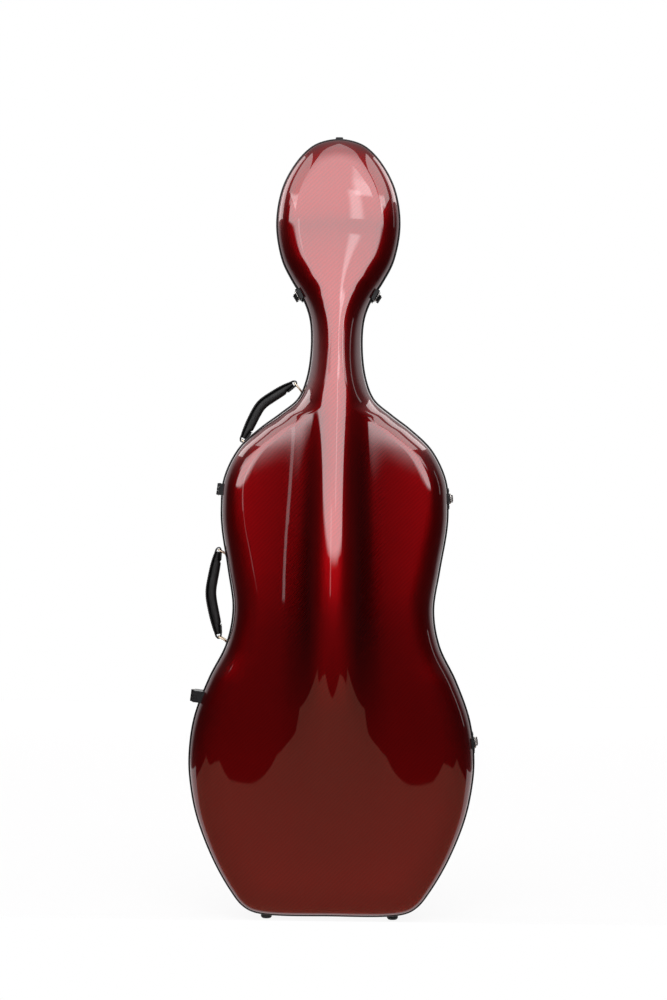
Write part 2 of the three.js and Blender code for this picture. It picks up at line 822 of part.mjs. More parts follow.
function gripSolid(span, riseShare) {
  const reach = span.length();
  const ahead = span.clone().normalize();
  const out = new THREE.Vector2(ahead.y, -ahead.x);
  const path = gripShares.map(([way, rise]) =>
    ahead
      .clone()
      .multiplyScalar(way * reach)
      .addScaledVector(out, rise * riseShare * reach),
  );
  const positions = [];
  path.forEach((point, i) => {
    const before = path[Math.max(i - 1, 0)];
    const after = path[Math.min(i + 1, path.length - 1)];
    const way = after.clone().sub(before).normalize();
    for (const [thick, wide] of gripSectionShares) {
      const off = (thick * gripShares[i][2] * gripThickness) / 2;
      positions.push(point.x + way.y * off, (wide * gripWidth) / 2, point.y - way.x * off);
    }
  });
  const size = gripSectionShares.length;
  const triangles = [];
  for (let i = 0; i + 1 < path.length; i++) {
    for (let k = 0; k < size; k++) {
      const m = (k + 1) % size;
      triangles.push(i * size + k, (i + 1) * size + k, (i + 1) * size + m);
      triangles.push(i * size + k, (i + 1) * size + m, i * size + m);
    }
  }
  const last = (path.length - 1) * size;
  for (let k = 1; k + 1 < size; k++) {
    triangles.push(0, k, k + 1);
    triangles.push(last, last + k + 1, last + k);
  }
  const eye = (radius, half) =>
    crossRod(radius, -half, half, 0, 0, 16).add(crossRod(radius, -half, half, span.x, span.y, 16));
  const bore = crossRod(ringWire + clearance, -gripWidth, gripWidth, 0, 0, 12).add(
    crossRod(ringWire + ringSlack, -gripWidth, gripWidth, span.x, span.y, 12),
  );
  return solidFrom(positions, triangles)
    .add(eye(gripEye, gripWidth / 2))
    .subtract(bore);
}

function bracket(name, share) {
  const { point, out } = outlineAt(-1, heightAt(share));
  const group = fittingGroup(baseBody, point.x, 0, point.y, out);
  const tubeHalf = ringHalf - ringWire * 3;
  const [front, back] = [handleDepth - tubeHalf, handleDepth + tubeHalf];
  const solid = box(
    -seatDeep,
    clearance,
    handleDepth - bracketPlateDepthHalf,
    handleDepth + bracketPlateDepthHalf,
    -bracketPlateHalf,
    bracketPlateHalf,
  )
    .add(box(-seatDeep, bracketPivotRise, front, back, -bracketTube, bracketTube))
    .add(crossRod(bracketTube, front, back, bracketPivotRise, 0, 14))
    .subtract(crossRod(ringWire + clearance, 0, handleDepth * 2, bracketPivotRise, 0, 12));
  addPiece(group, name, seated(group, solid), nickel);
  return point.clone().addScaledVector(out, bracketPivotRise);
}

function ring(name, group, length, way) {
  const ahead = new THREE.Vector3(way.x, 0, way.y);
  const back = new THREE.Vector3(0, 1, 0);
  addPiece(group, name, wireLoop(0, length, ringHalf, ringWire, 8, ahead, back), brassWire);
}

function handle(name, { topShare, bottomShare, topRing, bottomRing, ringAngle, riseShare }) {
  const turn = THREE.MathUtils.degToRad(ringAngle);
  const way = new THREE.Vector2(Math.cos(turn), Math.sin(turn));
  const top = bracket(`${name}_top_bracket`, topShare);
  const bottom = bracket(`${name}_bottom_bracket`, bottomShare);
  const topGroup = new THREE.Group();
  topGroup.position.set(top.x, handleDepth, top.y);
  baseBody.add(topGroup);
  ring(`${name}_top_ring`, topGroup, topRing, way);
  const bottomGroup = new THREE.Group();
  bottomGroup.position.set(bottom.x, handleDepth, bottom.y);
  baseBody.add(bottomGroup);
  ring(`${name}_bottom_ring`, bottomGroup, bottomRing, way);
  const upperEye = way.clone().multiplyScalar(topRing);
  const lowerEye = way.clone().multiplyScalar(bottomRing).add(bottom).sub(top);
  const gripGroup = new THREE.Group();
  gripGroup.position.set(upperEye.x, 0, upperEye.y);
  topGroup.add(gripGroup);
  const grip = gripSolid(lowerEye.sub(upperEye), riseShare);
  addPiece(gripGroup, `${name}_grip`, grip, leather);
}
for (const [name, sizes] of Object.entries(handles)) handle(name, sizes);

// Rubber feet under the foot end and the small buffer on top of the head
const footAcrossShare = 0.448;
const footFrontDepth = 25;
const footRearDepth = 88;
const footRadius = 10.5;
const footTaper = 1;
const footEdge = 2.6;
const footTop = 30;
const bufferHalf = 6.5;
const bufferRise = 3.7;
const bufferDepth = 18;
const bufferEdge = 1.2;

function foot(name, x, y) {
  const profile = [
    new THREE.Vector2(0, 0),
    new THREE.Vector2(footRadius - footTaper - footEdge, 0),
    new THREE.Vector2(footRadius - footTaper, footEdge),
    new THREE.Vector2(footRadius, footTop),
    new THREE.Vector2(0, footTop),
  ];
  const solid = solidOf(new THREE.LatheGeometry(profile, 20).rotateX(Math.PI / 2));
  const group = new THREE.Group();
  group.position.set(x, y, 0);
  baseBody.add(group);
  group.updateMatrix();
  addPiece(group, name, seated(group, solid), rubber);
}
const footAcross = footAcrossShare * lowerBoutWidth;
foot("front_left_foot", -footAcross / 2, footFrontDepth);
foot("front_right_foot", footAcross / 2, footFrontDepth);
foot("rear_left_foot", -footAcross / 2, footRearDepth);
foot("rear_right_foot", footAcross / 2, footRearDepth);

function headBuffer() {
  const top = heightAt(1);
  const rise = rimSeatOut + bufferRise;
  const shape = new THREE.Shape([
    new THREE.Vector2(-bufferHalf, -seatDeep),
    new THREE.Vector2(bufferHalf, -seatDeep),
    new THREE.Vector2(bufferHalf, rise - bufferEdge),
    new THREE.Vector2(bufferHalf - bufferEdge, rise),
    new THREE.Vector2(bufferEdge - bufferHalf, rise),
    new THREE.Vector2(-bufferHalf, rise - bufferEdge),
  ]);
  const block = new THREE.ExtrudeGeometry(shape, { depth: bufferDepth, bevelEnabled: false });
  const group = new THREE.Group();
  group.position.set(0, plateFrom, top);
  baseBody.add(group);
  group.updateMatrix();
  const solid = solidOf(block.rotateX(-Math.PI / 2).rotateZ(Math.PI).rotateX(Math.PI));
  addPiece(group, "head_buffer", seated(group, solid), rubber);
}
headBuffer();

// Padding in the base holds the instrument clear of the shell
const padFront = 15;
const footPadHalf = 100;
const footPadTop = 70;
const endpinHole = 16;
const endpinDepth = 70;
const waistPadShares = [0.355, 0.47];
const waistPadReachShare = 0.375;
const shoulderPadShares = [0.575, 0.632];
const shoulderPadReachShare = 0.16;
const cradleShares = [0.6675, 0.7126];
const cradleFront = 20;
const cradleNotch = 20;
const strapShares = [0.679, 0.7015];
const strapThickness = 2;
const strapHalfShare = 0.425;
const padBack = 200;

const footPad = box(-footPadHalf, footPadHalf, padFront, padBack, 0, footPadTop)
  .intersect(baseHollow)
  .subtract(rod(endpinHole, 0, footPadTop + cutPast, 0, endpinDepth, 20));
addPiece(baseBody, "foot_pad", footPad, pile);

function sidePad(name, side, shares, reach) {
  const far = lowerBoutWidth;
  const [from, to] = side > 0 ? [reach, far] : [-far, -reach];
  const block = box(from, to, padFront, padBack, heightAt(shares[0]), heightAt(shares[1]));
  addPiece(baseBody, name, block.intersect(baseHollow), pile);
}
sidePad("left_waist_pad", -1, waistPadShares, waistPadReachShare * waistWidth);
sidePad("right_waist_pad", 1, waistPadShares, waistPadReachShare * waistWidth);
sidePad("left_shoulder_pad", -1, shoulderPadShares, shoulderPadReachShare * upperBoutWidth);
sidePad("right_shoulder_pad", 1, shoulderPadShares, shoulderPadReachShare * upperBoutWidth);

const [cradleFrom, cradleTo] = cradleShares.map(heightAt);
const cradle = box(-neckWidth, neckWidth, cradleFront, padBack, cradleFrom, cradleTo)
  .intersect(baseHollow)
  .subtract(rod(cradleNotch, cradleFrom - cutPast, cradleTo + cutPast, 0, cradleFront, 24));
addPiece(baseBody, "neck_cradle", cradle, pile);
const [strapFrom, strapTo] = strapShares.map(heightAt);
const strapBack = cradleFront - clearance;
const strapHalf = strapHalfShare * neckWidth;
const strap = box(-strapHalf, strapHalf, strapBack - strapThickness, strapBack, strapFrom, strapTo);
addPiece(baseBody, "neck_strap", strap, webbing);

// Bow clips in the lid: a post with a bar that turns on it and locks the bow
const clipShare = 0.24;
const clipAcrossShare = 0.39;
const clipPostRadius = 7;
const clipPostTop = 38;
const clipStem = 2.5;
const clipHead = 4.5;
const clipHeadThickness = 2;
const clipBarThickness = 3.4;
const clipBarHalf = 5;
const clipBarReach = 34;

function bowClip(name, x) {
  const z = heightAt(clipShare);
  const post = crossRod(clipPostRadius, -padBack, -clipPostTop, x, z, 18).intersect(lidHollow);
  const stemEnd = clipBarThickness + 2 * clearance - clipPostTop;
  const solid = post
    .add(crossRod(clipStem, -clipPostTop - cutPast, stemEnd + clipHeadThickness, x, z, 12))
    .add(crossRod(clipHead, stemEnd, stemEnd + clipHeadThickness, x, z, 14));
  addPiece(lidBody, `${name}_post`, solid, rubber);
  const group = new THREE.Group();
  group.position.set(x, clearance - clipPostTop, z);
  lidBody.add(group);
  const bar = box(-clipBarHalf, clipBarHalf, 0, clipBarThickness, -clipBarHalf, clipBarReach).subtract(
    crossRod(clipStem + clearance, -cutPast, clipBarThickness + cutPast, 0, 0, 12),
  );
  addPiece(group, `${name}_bar`, bar, rubber);
}
const clipAcross = clipAcrossShare * lowerBoutWidth;
bowClip("left_bow_clip", -clipAcross / 2);
bowClip("right_bow_clip", clipAcross / 2);

// The middle of the case's depth is at the origin
part.updateMatrixWorld(true);
const extent = new THREE.Box3().setFromObject(part);
part.position.y = -(extent.min.y + extent.max.y) / 2;

export default part;
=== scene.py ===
import json
import math

import bmesh
import bpy
import numpy as np
from mathutils import Matrix, Vector

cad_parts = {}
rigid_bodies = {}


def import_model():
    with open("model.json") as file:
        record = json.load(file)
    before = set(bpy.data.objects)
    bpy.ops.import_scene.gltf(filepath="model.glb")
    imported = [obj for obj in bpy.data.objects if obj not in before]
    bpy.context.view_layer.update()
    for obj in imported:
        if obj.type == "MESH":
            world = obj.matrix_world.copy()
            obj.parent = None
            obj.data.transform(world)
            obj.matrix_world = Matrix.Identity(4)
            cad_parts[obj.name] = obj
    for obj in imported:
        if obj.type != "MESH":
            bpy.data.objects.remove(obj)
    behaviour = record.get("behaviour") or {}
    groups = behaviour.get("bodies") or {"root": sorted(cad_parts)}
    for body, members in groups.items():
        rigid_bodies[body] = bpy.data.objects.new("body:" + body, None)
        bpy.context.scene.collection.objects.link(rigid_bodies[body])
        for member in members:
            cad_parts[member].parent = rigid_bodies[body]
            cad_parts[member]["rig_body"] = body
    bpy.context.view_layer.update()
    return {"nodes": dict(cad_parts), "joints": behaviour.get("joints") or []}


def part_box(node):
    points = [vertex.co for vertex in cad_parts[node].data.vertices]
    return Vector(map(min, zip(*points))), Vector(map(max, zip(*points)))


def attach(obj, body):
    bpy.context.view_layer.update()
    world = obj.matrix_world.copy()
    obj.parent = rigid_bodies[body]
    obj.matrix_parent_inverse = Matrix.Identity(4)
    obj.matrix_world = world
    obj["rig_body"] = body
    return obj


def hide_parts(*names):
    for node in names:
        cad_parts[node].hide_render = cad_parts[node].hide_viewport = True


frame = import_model()

# Studio: a white platform with a white wall far behind, soft lights, and a camera square on to the lid.
# The case leans slightly to the right in the picture.
picture_height = 1000
metres_per_pixel = 0.0017266
lens = 100
sensor = 36
eye_height = 0.7243
eye_across = -0.0022
lean = math.radians(0.74)


def linked(name, data):
    """A new object of some data, in the scene."""
    item = bpy.data.objects.new(name, data)
    bpy.context.scene.collection.objects.link(item)
    return item


camera_data = bpy.data.cameras.new("camera")
camera_data.lens = lens
camera_data.sensor_width = sensor
camera_data.clip_end = 60
camera = linked("camera", camera_data)
camera_distance = picture_height * metres_per_pixel * lens / sensor
camera.matrix_world = (
    Matrix.Translation((eye_across, -camera_distance, eye_height))
    @ Matrix.Rotation(math.pi / 2, 4, "X")
    @ Matrix.Rotation(lean, 4, "Z")
)
bpy.context.scene.camera = camera
bpy.context.scene.view_settings.view_transform = "Standard"


class Net:
    """A node tree, with short ways to add nodes to it and join them up."""

    def __init__(self, tree):
        self.tree = tree

    def feed(self, socket, value):
        """Joins a socket to another one, or sets it to a value."""
        if isinstance(value, bpy.types.NodeSocket):
            self.tree.links.new(value, socket)
        elif value is not None:
            socket.default_value = value

    def add(self, kind, *values, settings=None, **named):
        """A node with its settings, and its inputs fed in their order or by their names."""
        node = self.tree.nodes.new(kind)
        for label, value in (settings or {}).items():
            setattr(node, label, value)
        for socket, value in zip(node.inputs, values):
            self.feed(socket, value)
        for label, value in named.items():
            self.feed(node.inputs[label.replace("_", " ")], value)
        return node

    def maths(self, operation, *values):
        return self.add("ShaderNodeMath", *values, settings={"operation": operation}).outputs[0]

    def times(self, first, *others):
        for other in others:
            first = self.maths("MULTIPLY", first, other)
        return first

    def between(self, value, low, high, to_low=0.0, to_high=1.0, kind="LINEAR"):
        """A value between two limits, carried over to between two others."""
        settings = {"interpolation_type": kind}
        return self.add("ShaderNodeMapRange", value, low, high, to_low, to_high, settings=settings).outputs[0]

    def step(self, value, low, high, to_low=0.0, to_high=1.0):
        return self.between(value, low, high, to_low, to_high, "SMOOTHSTEP")

    def apart(self, vector):
        return self.add("ShaderNodeSeparateXYZ", vector).outputs

    def group(self, tree, **inputs):
        return self.add("ShaderNodeGroup", settings={"node_tree": tree}, **inputs).outputs

    def blend(self, factor, a, b):
        node = self.add("ShaderNodeMix", factor, settings={"data_type": "RGBA"})
        self.feed(node.inputs[6], a)
        self.feed(node.inputs[7], b)
        return node.outputs[2]

    def noise(self, vector, scale, detail=2.0, roughness=0.5):
        inputs = {"Vector": vector, "Scale": scale, "Detail": detail, "Roughness": roughness}
        return self.add("ShaderNodeTexNoise", **inputs).outputs[0]

    def place(self, kind="Object"):
        return self.add("ShaderNodeTexCoord").outputs[kind]

    def bump(self, height, strength, distance):
        return self.add("ShaderNodeBump", Strength=strength, Distance=distance, Height=height).outputs[0]

    def principled(self, **values):
        node = self.add("ShaderNodeBsdfPrincipled", **values)
        self.add("ShaderNodeOutputMaterial", node.outputs[0])


def new_material(name):
    material = bpy.data.materials.new(name)
    material.use_nodes = True
    material.node_tree.nodes.clear()
    return material, Net(material.node_tree)


def studio_surface(name, colour, glow, clear_behind=False):
    """A plain surface that glows for the camera, gloss and glass, but not as a light on the case."""
    material, net = new_material(name)
    path = net.add("ShaderNodeLightPath").outputs
    seen = net.maths("MAXIMUM", path["Is Glossy Ray"], path["Is Transmission Ray"])
    seen = net.maths("MAXIMUM", path["Is Camera Ray"], seen)
    card = net.add("ShaderNodeBsdfDiffuse", (*colour, 1)).outputs[0]
    white = net.add("ShaderNodeEmission").outputs[0]
    finish = net.add("ShaderNodeMixShader", net.times(seen, glow), card, white).outputs[0]
    if clear_behind:
        behind = net.add("ShaderNodeNewGeometry").outputs["Backfacing"]
        clear = net.add("ShaderNodeBsdfTransparent").outputs[0]
        finish = net.add("ShaderNodeMixShader", behind, finish, clear).outputs[0]
    net.add("ShaderNodeOutputMaterial", finish)
    return material


def stage_plane(name, corners, material):
    mesh = bpy.data.meshes.new(name)
    mesh.from_pydata(corners, [], [range(len(corners))])
    mesh.materials.append(material)
    plane = linked(name, mesh)
    return plane


# The case's feet stand on the low platform, which ends just in front of them. A dull brown floor lies
# round it, and the lower part of the lid mirrors the floor's front edge, which is shaped for that.
# The wall is clear from behind, so that it never stands before a camera there.
platform_half, platform_front, platform_back, platform_height, wall_top = 1.6, -0.02, 5, 0.15, 2.9
stage_white = (0.85, 0.85, 0.85)
white_floor = studio_surface("white_floor", stage_white, 0.9)
white_wall = studio_surface("white_wall", stage_white, 1)
clear_backed_wall = studio_surface("clear_backed_wall", stage_white, 1, clear_behind=True)
dull_floor = studio_surface("dull_floor", (0.44, 0.2, 0.135), 0)
dark_cloth = studio_surface("dark_cloth", (0.01, 0.009, 0.01), 0)


def upright_plane(name, y, low, high, material):
    left, right = -platform_half, platform_half
    return stage_plane(name, [(left, y, low), (right, y, low), (right, y, high), (left, y, high)], material)


platform_sides = [(-platform_half, platform_front), (platform_half, platform_front)]
platform_sides += [(platform_half, platform_back), (-platform_half, platform_back)]
stage_plane("platform_top", [(x, y, 0) for x, y in platform_sides], white_floor)
upright_plane("platform_front", platform_front, -platform_height, 0, white_wall)
upright_plane("far_wall", platform_back, 0, wall_top, clear_backed_wall)
floor_edge = [(0, -1.05), (0.3, -1.2), (0.55, -1.3), (0.8, -1.25), (1.05, -1.12), (1.65, -1.2), (1.65, 5)]
floor_edge = [(-x, y) for x, y in floor_edge[:0:-1]] + floor_edge
stage_plane("studio_floor", [(x, y, -platform_height) for x, y in floor_edge], dull_floor)

# A dim room, lighter overhead and behind the case, with one very large soft light in front that goes
# from its left to its right and from just over the horizon to overhead. Small patches give the
# narrow bright lines in the gloss.
world = bpy.data.worlds.new("room")
world.use_nodes = True
world.node_tree.nodes.clear()
bpy.context.scene.world = world
room = Net(world.node_tree)
to_right, to_back, to_top = room.apart(room.place("Generated"))
degrees = 180 / math.pi
bearing = room.times(room.maths("ARCTAN2", to_right, room.times(to_back, -1.0)), degrees)
height = room.times(room.maths("ARCSINE", to_top), degrees)


def room_patch(left, right, low, high, soft, strength, bend=0.0):
    """A lit patch of the room between two bearings and two heights, in degrees.

    Bend lifts the patch's lower edge towards its sides."""
    lifted = room.maths("SUBTRACT", height, room.times(room.maths("POWER", bearing, 2.0), bend))
    wide = room.times(
        room.step(bearing, left - soft, left), room.step(bearing, right, right + soft, 1.0, 0.0)
    )
    tall = room.times(room.step(lifted, low - soft, low), room.step(height, high, high + soft, 1.0, 0.0))
    return room.times(wide, tall, strength)


front_light = room_patch(-63, 40, 4.8, 23, 3.0, 4.2, 0.0009)
overhead_light = room_patch(-33, 30, 23, 90, 2.0, room.step(height, 30.0, 60.0, 4.2, 2.0))
upper_band = room_patch(-72, 58, 23, 28, 3.0, 3.0)
high_spot = room_patch(4.0, 8.0, 24.5, 27.5, 1.5, 3.0)
upright_line = room_patch(2.6, 3.6, 10, 25, 1.0, 2.5)
low_left_patch = room_patch(-18, -13, -3, 9, 1.0, 1.2)
right_side_line = room_patch(101, 105, 4, 22, 1.0, 1.0)
room_level = room.maths(
    "MAXIMUM", room.step(height, 10.0, 80.0, 0.012, 0.5), room.step(to_back, 0.45, 0.75, 0.012, 0.4)
)
light = front_light
for large in (overhead_light, upper_band):
    light = room.maths("MAXIMUM", light, large)
for small in (high_spot, upright_line, low_left_patch, right_side_line, room_level):
    light = room.maths("ADD", light, small)
background = room.add("ShaderNodeBackground", (1.0, 0.965, 0.985, 1), light)
room.add("ShaderNodeOutputWorld", background.outputs[0])

# Two soft boxes stand high on each side, one behind the case and one before it, and shine straight
# inwards. A dark card low on each side of the front darkens the gloss there.
for name, place, wide, tall, strength in (
    ("left_panel", (-1.1, 0.65, 1.93), 0.9, 1.15, 2.8),
    ("right_panel", (1.1, 0.85, 2.05), 1.1, 0.9, 2.8),
    ("left_head_panel", (-1.1, -0.85, 2.35), 1.5, 1.1, 2.7),
    ("right_head_panel", (1.1, -0.85, 2.3), 1.5, 1.2, 2.9),
):
    lamp = bpy.data.lights.new(name, "AREA")
    lamp.shape = "RECTANGLE"
    lamp.size = wide
    lamp.size_y = tall
    lamp.energy = strength * wide * tall * math.pi
    box = linked(name, lamp)
    box.visible_camera = False
    inwards = Vector((-place[0], 0, 0))
    box.matrix_world = Matrix.Translation(place) @ inwards.to_track_quat("-Z", "Y").to_matrix().to_4x4()
card_low, card_high = 0.45, 0.7
for name, side in (("left_card", -1), ("right_card", 1)):
    near, far = (side * 0.45, -1.3), (side * 1.35, -0.2)
    corners = [(*near, card_low), (*far, card_low), (*far, card_high), (*near, card_high)]
    stage_plane(name, corners, dark_cloth).visible_camera = False

# Shells: the lid and the base, each one moulding of woven fibre in resin under clear red lacquer.
# Laid up in a mould, trimmed at the seam, and closed by the edging.
foot_rise, case_length = 11.3, 1331
lower_bout, waist_width, upper_bout, neck_width, head_width = 486.6, 341.6, 386.6, 84.6, 208.6
outline_shares = [
    (lower_bout, [
        (0, 0), (0.0033, 0.26), (0.0123, 0.307), (0.0317, 0.349), (0.0704, 0.41), (0.1221, 0.467),
        (0.161, 0.491), (0.1997, 0.5), (0.2514, 0.484), (0.3031, 0.433),
    ]),
    (waist_width, [(0.3483, 0.531), (0.3936, 0.5), (0.4452, 0.527)]),
    (upper_bout, [
        (0.4969, 0.495), (0.5228, 0.5), (0.5616, 0.489), (0.6003, 0.425), (0.6262, 0.333), (0.6456, 0.244),
    ]),
    (neck_width, [(0.665, 0.758), (0.6908, 0.586), (0.7296, 0.5), (0.7683, 0.528), (0.7942, 0.667)]),
    (head_width, [
        (0.8199, 0.371), (0.8459, 0.452), (0.891, 0.5), (0.9364, 0.456), (0.9687, 0.35), (0.988, 0.238),
        (0.9958, 0.149), (1, 0),
    ]),
]
lid_depths = [(0, 30), (0.42, 75), (0.64, 74), (0.89, 48), (1, 32)]
base_depths = [(0, 126), (0.2, 150), (0.4, 144), (0.53, 136), (0.74, 84), (0.89, 98), (1, 84)]
ridge_rises = [(0.03, 0), (0.42, 48), (0.89, 0)]
ridge_halves = [(0.1, 80), (0.42, 47), (0.64, 42), (0.74, 42), (0.89, 60)]
lid_corners = [(0, 56), (0.2, 60), (0.42, 44), (0.64, 32), (0.74, 38), (1, 40)]
base_corners = [(0, 56), (1, 56)]
ridge_fullness = 2.4
lid_crown, base_crown = 4, 8
shell_wall, shell_edge = 3.0, 2.7
rim_depth, clearance = 9.0, 0.3
corner_depth, side_draft, foot_spine = 50, 0.07, 150
least_slant, corner_share = 0.45, 0.9
stations_a_side, steps_a_span = 300, 60


def case_outline():
    """The outline on the right, from the foot's middle to the head's top, as close points (x, z)."""
    right = [
        np.array([part * width, foot_rise + share * case_length])
        for width, points in outline_shares
        for share, part in points
    ]
    left = [np.array([-p[0], p[1]]) for p in right[1:-1][::-1]]
    knots = right + left
    count = len(knots)
    points = []
    for i in range(len(right) - 1):
        p0, p1, p2, p3 = (knots[(i + k - 1) % count] for k in range(4))
        d0, d1, d2 = (np.linalg.norm(b - a) ** 0.5 for a, b in ((p0, p1), (p1, p2), (p2, p3)))
        t1 = ((p1 - p0) / d0 - (p2 - p0) / (d0 + d1) + (p2 - p1) / d1) * d1
        t2 = ((p2 - p1) / d1 - (p3 - p1) / (d1 + d2) + (p3 - p2) / d2) * d1
        for s in np.linspace(0, 1, steps_a_span, endpoint=False):
            points.append(
                p1 + t1 * s + (-3 * p1 + 3 * p2 - 2 * t1 - t2) * s**2 + (2 * p1 - 2 * p2 + t1 + t2) * s**3
            )
    points.append(right[-1])
    return np.array(points)


def even_stations(points, a_side):
    """The whole outline as evenly spaced points: up the right side and down the left."""
    travel = np.concatenate([[0], np.cumsum(np.linalg.norm(np.diff(points, axis=0), axis=1))])
    goals = np.linspace(0, travel[-1], a_side + 1)
    right = np.column_stack([np.interp(goals, travel, points[:, k]) for k in (0, 1)])
    right[0, 0] = right[-1, 0] = 0
    left = right[1:-1][::-1] * (-1, 1)
    return np.vstack([right, left])


def outward(points):
    ahead = np.roll(points, -1, axis=0) - np.roll(points, 1, axis=0)
    normal = np.column_stack([ahead[:, 1], -ahead[:, 0]])
    return normal / np.linalg.norm(normal, axis=1)[:, None]


stations = even_stations(case_outline(), stations_a_side)
station_out = outward(stations)
rim_gap = 0.4
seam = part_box("base_rim")[0].y * 1000 - rim_gap


def along(table, z):
    """A table's value at a height, smoothly between its (share of the length, value) rows."""
    share = (z - foot_rise) / case_length
    places, values = np.array(table).T
    k = np.clip(np.searchsorted(places, share, side="right") - 1, 0, len(places) - 2)
    t = np.clip((share - places[k]) / (places[k + 1] - places[k]), 0, 1)
    return values[k] + (values[k + 1] - values[k]) * t * t * (3 - 2 * t)


def half_surface(side, rings, inset, edge_at):
    """Points of one half's surface, ring by ring from its edge to the line along its middle."""
    depths = base_depths if side > 0 else lid_depths
    corners = base_corners if side > 0 else lid_corners
    crown = base_crown if side > 0 else lid_crown
    start = stations - station_out * inset
    spine_end = foot_rise + case_length - head_width / 2
    spine = np.clip(stations[:, 1], foot_rise + foot_spine, spine_end)
    inward = np.column_stack([np.zeros(len(stations)), spine]) - start
    reach = np.linalg.norm(inward, axis=1)
    inward /= reach[:, None]
    slant = np.maximum(-(inward * station_out).sum(axis=1), least_slant)
    corner_in = np.minimum(along(corners, start[:, 1]) - inset, reach * slant * corner_share)
    straight_to = rim_depth + clearance

    def corner_at(z):
        return np.minimum(corner_depth, along(depths, z) - straight_to - clearance) - inset

    def wall_at(z):
        return along(depths, z) - inset - corner_at(z)

    draft = (wall_at(start[:, 1]) - straight_to) * side_draft
    face_from = (draft + corner_in) / slant
    surface = []
    for kind, amount in rings:
        travel = np.zeros(len(stations))
        if kind == "corner":
            travel = (draft + corner_in * (1 - math.cos(amount))) / slant
        if kind == "face":
            travel = face_from + (reach - face_from) * amount
        travel = np.minimum(travel, reach)
        place = start + inward * travel[:, None]
        x, z = place[:, 0], place[:, 1]
        depth = np.full(len(stations), float(edge_at))
        if kind == "straight":
            depth[:] = straight_to
        if kind == "corner":
            depth = wall_at(z) + corner_at(z) * math.sin(amount)
        if kind == "face":
            depth = wall_at(z) + corner_at(z)
        progress = travel / reach
        depth = depth + crown * (2 * progress - progress**2) * (travel > 0)
        if side < 0:
            bulge = np.exp(-np.abs(x / along(ridge_halves, z)) ** ridge_fullness)
            depth = depth + along(ridge_rises, z) * bulge * (1 - (1 - progress) ** 4) * (travel > 0)
        surface.append(np.column_stack([x, side * depth, z]))
    return np.array(surface)


def fine_rings(corners, faces):
    rings = [("edge", 0), ("straight", 0)]
    rings += [("corner", math.radians(90 * k / corners)) for k in range(corners + 1)]
    rings += [("face", 1 - (1 - k / faces) ** 1.3) for k in range(1, faces + 1)]
    return rings


def shade_smooth(mesh, sharp=None):
    """Smooth shading, with sharp edges past an angle in degrees where one is given."""
    for polygon in mesh.polygons:
        polygon.use_smooth = True
    if sharp:
        mesh.set_sharp_from_angle(angle=math.radians(sharp))


def put_together(name, points, faces, material, uv=None):
    """A mesh object of points in millimetres from the seam plane, with doubles merged."""
    mesh = bpy.data.meshes.new(name)
    mesh.from_pydata([(x / 1000, (y + seam) / 1000, z / 1000) for x, y, z in points], [], faces)
    if uv is not None:
        layer = mesh.uv_layers.new(name="fabric")
        flat = np.zeros(len(mesh.loops), int)
        mesh.loops.foreach_get("vertex_index", flat)
        layer.data.foreach_set("uv", np.asarray(uv)[flat].ravel())
    shape = bmesh.new()
    shape.from_mesh(mesh)
    bmesh.ops.remove_doubles(shape, verts=shape.verts, dist=2e-6)
    bmesh.ops.dissolve_degenerate(shape, edges=shape.edges, dist=1e-7)
    bmesh.ops.recalc_face_normals(shape, faces=shape.faces)
    shape.to_mesh(mesh)
    shape.free()
    shade_smooth(mesh)
    mesh.materials.append(material)
    return linked(name, mesh)


def grid_faces(rows, columns, first=0, flip=False):
    """Faces between rows of points, each row closed on itself."""
    faces = []
    for r in range(rows - 1):
        for c in range(columns):
            d = (c + 1) % columns
            a, b = first + r * columns + c, first + r * columns + d
            quad = (a, b, b + columns, a + columns)
            faces.append(quad[::-1] if flip else quad)
    return faces


def half_mesh(name, outer, inner, material):
    """A half as a wall between two surfaces. Its pattern lies as if unrolled from the middle line."""
    count = len(stations)
    second = len(outer) * count
    points = np.vstack([outer.reshape(-1, 3), inner.reshape(-1, 3)])
    faces = grid_faces(len(outer), count) + grid_faces(len(inner), count, second, True)
    for i in range(count):
        j = (i + 1) % count
        faces.append((i, second + i, second + j, j))
    unrolled = []
    for surface in (outer, inner):
        steps = np.linalg.norm(np.diff(surface, axis=0), axis=2)
        length = np.vstack([np.cumsum(steps[::-1], axis=0)[::-1], np.zeros((1, count))])
        middle = surface[-1][:, [0, 2]]
        way = surface[0][:, [0, 2]] - middle
        way /= np.linalg.norm(way, axis=1)[:, None]
        unrolled.append(((middle[None] + way[None] * length[..., None]) / 1000).reshape(-1, 2))
    return put_together(name, points, faces, material, uv=np.vstack(unrolled))


def as_piece(piece, node):
    """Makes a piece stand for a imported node, on that node's body."""
    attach(piece, frame["nodes"][node]["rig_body"])
    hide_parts(node)
    return piece


def new_group(name, kind, inputs, outputs):
    """A node group's net with what comes into it and goes out of it, by label and kind of socket."""
    tree = bpy.data.node_groups.new(name, kind)
    for label, socket_kind, *value in inputs:
        socket = tree.interface.new_socket(label, in_out="INPUT", socket_type="NodeSocket" + socket_kind)
        if value:
            socket.default_value = value[0]
    for label, socket_kind in outputs:
        tree.interface.new_socket(label, in_out="OUTPUT", socket_type="NodeSocket" + socket_kind)
    net = Net(tree)
    return net, net.add("NodeGroupInput").outputs, net.add("NodeGroupOutput").inputs


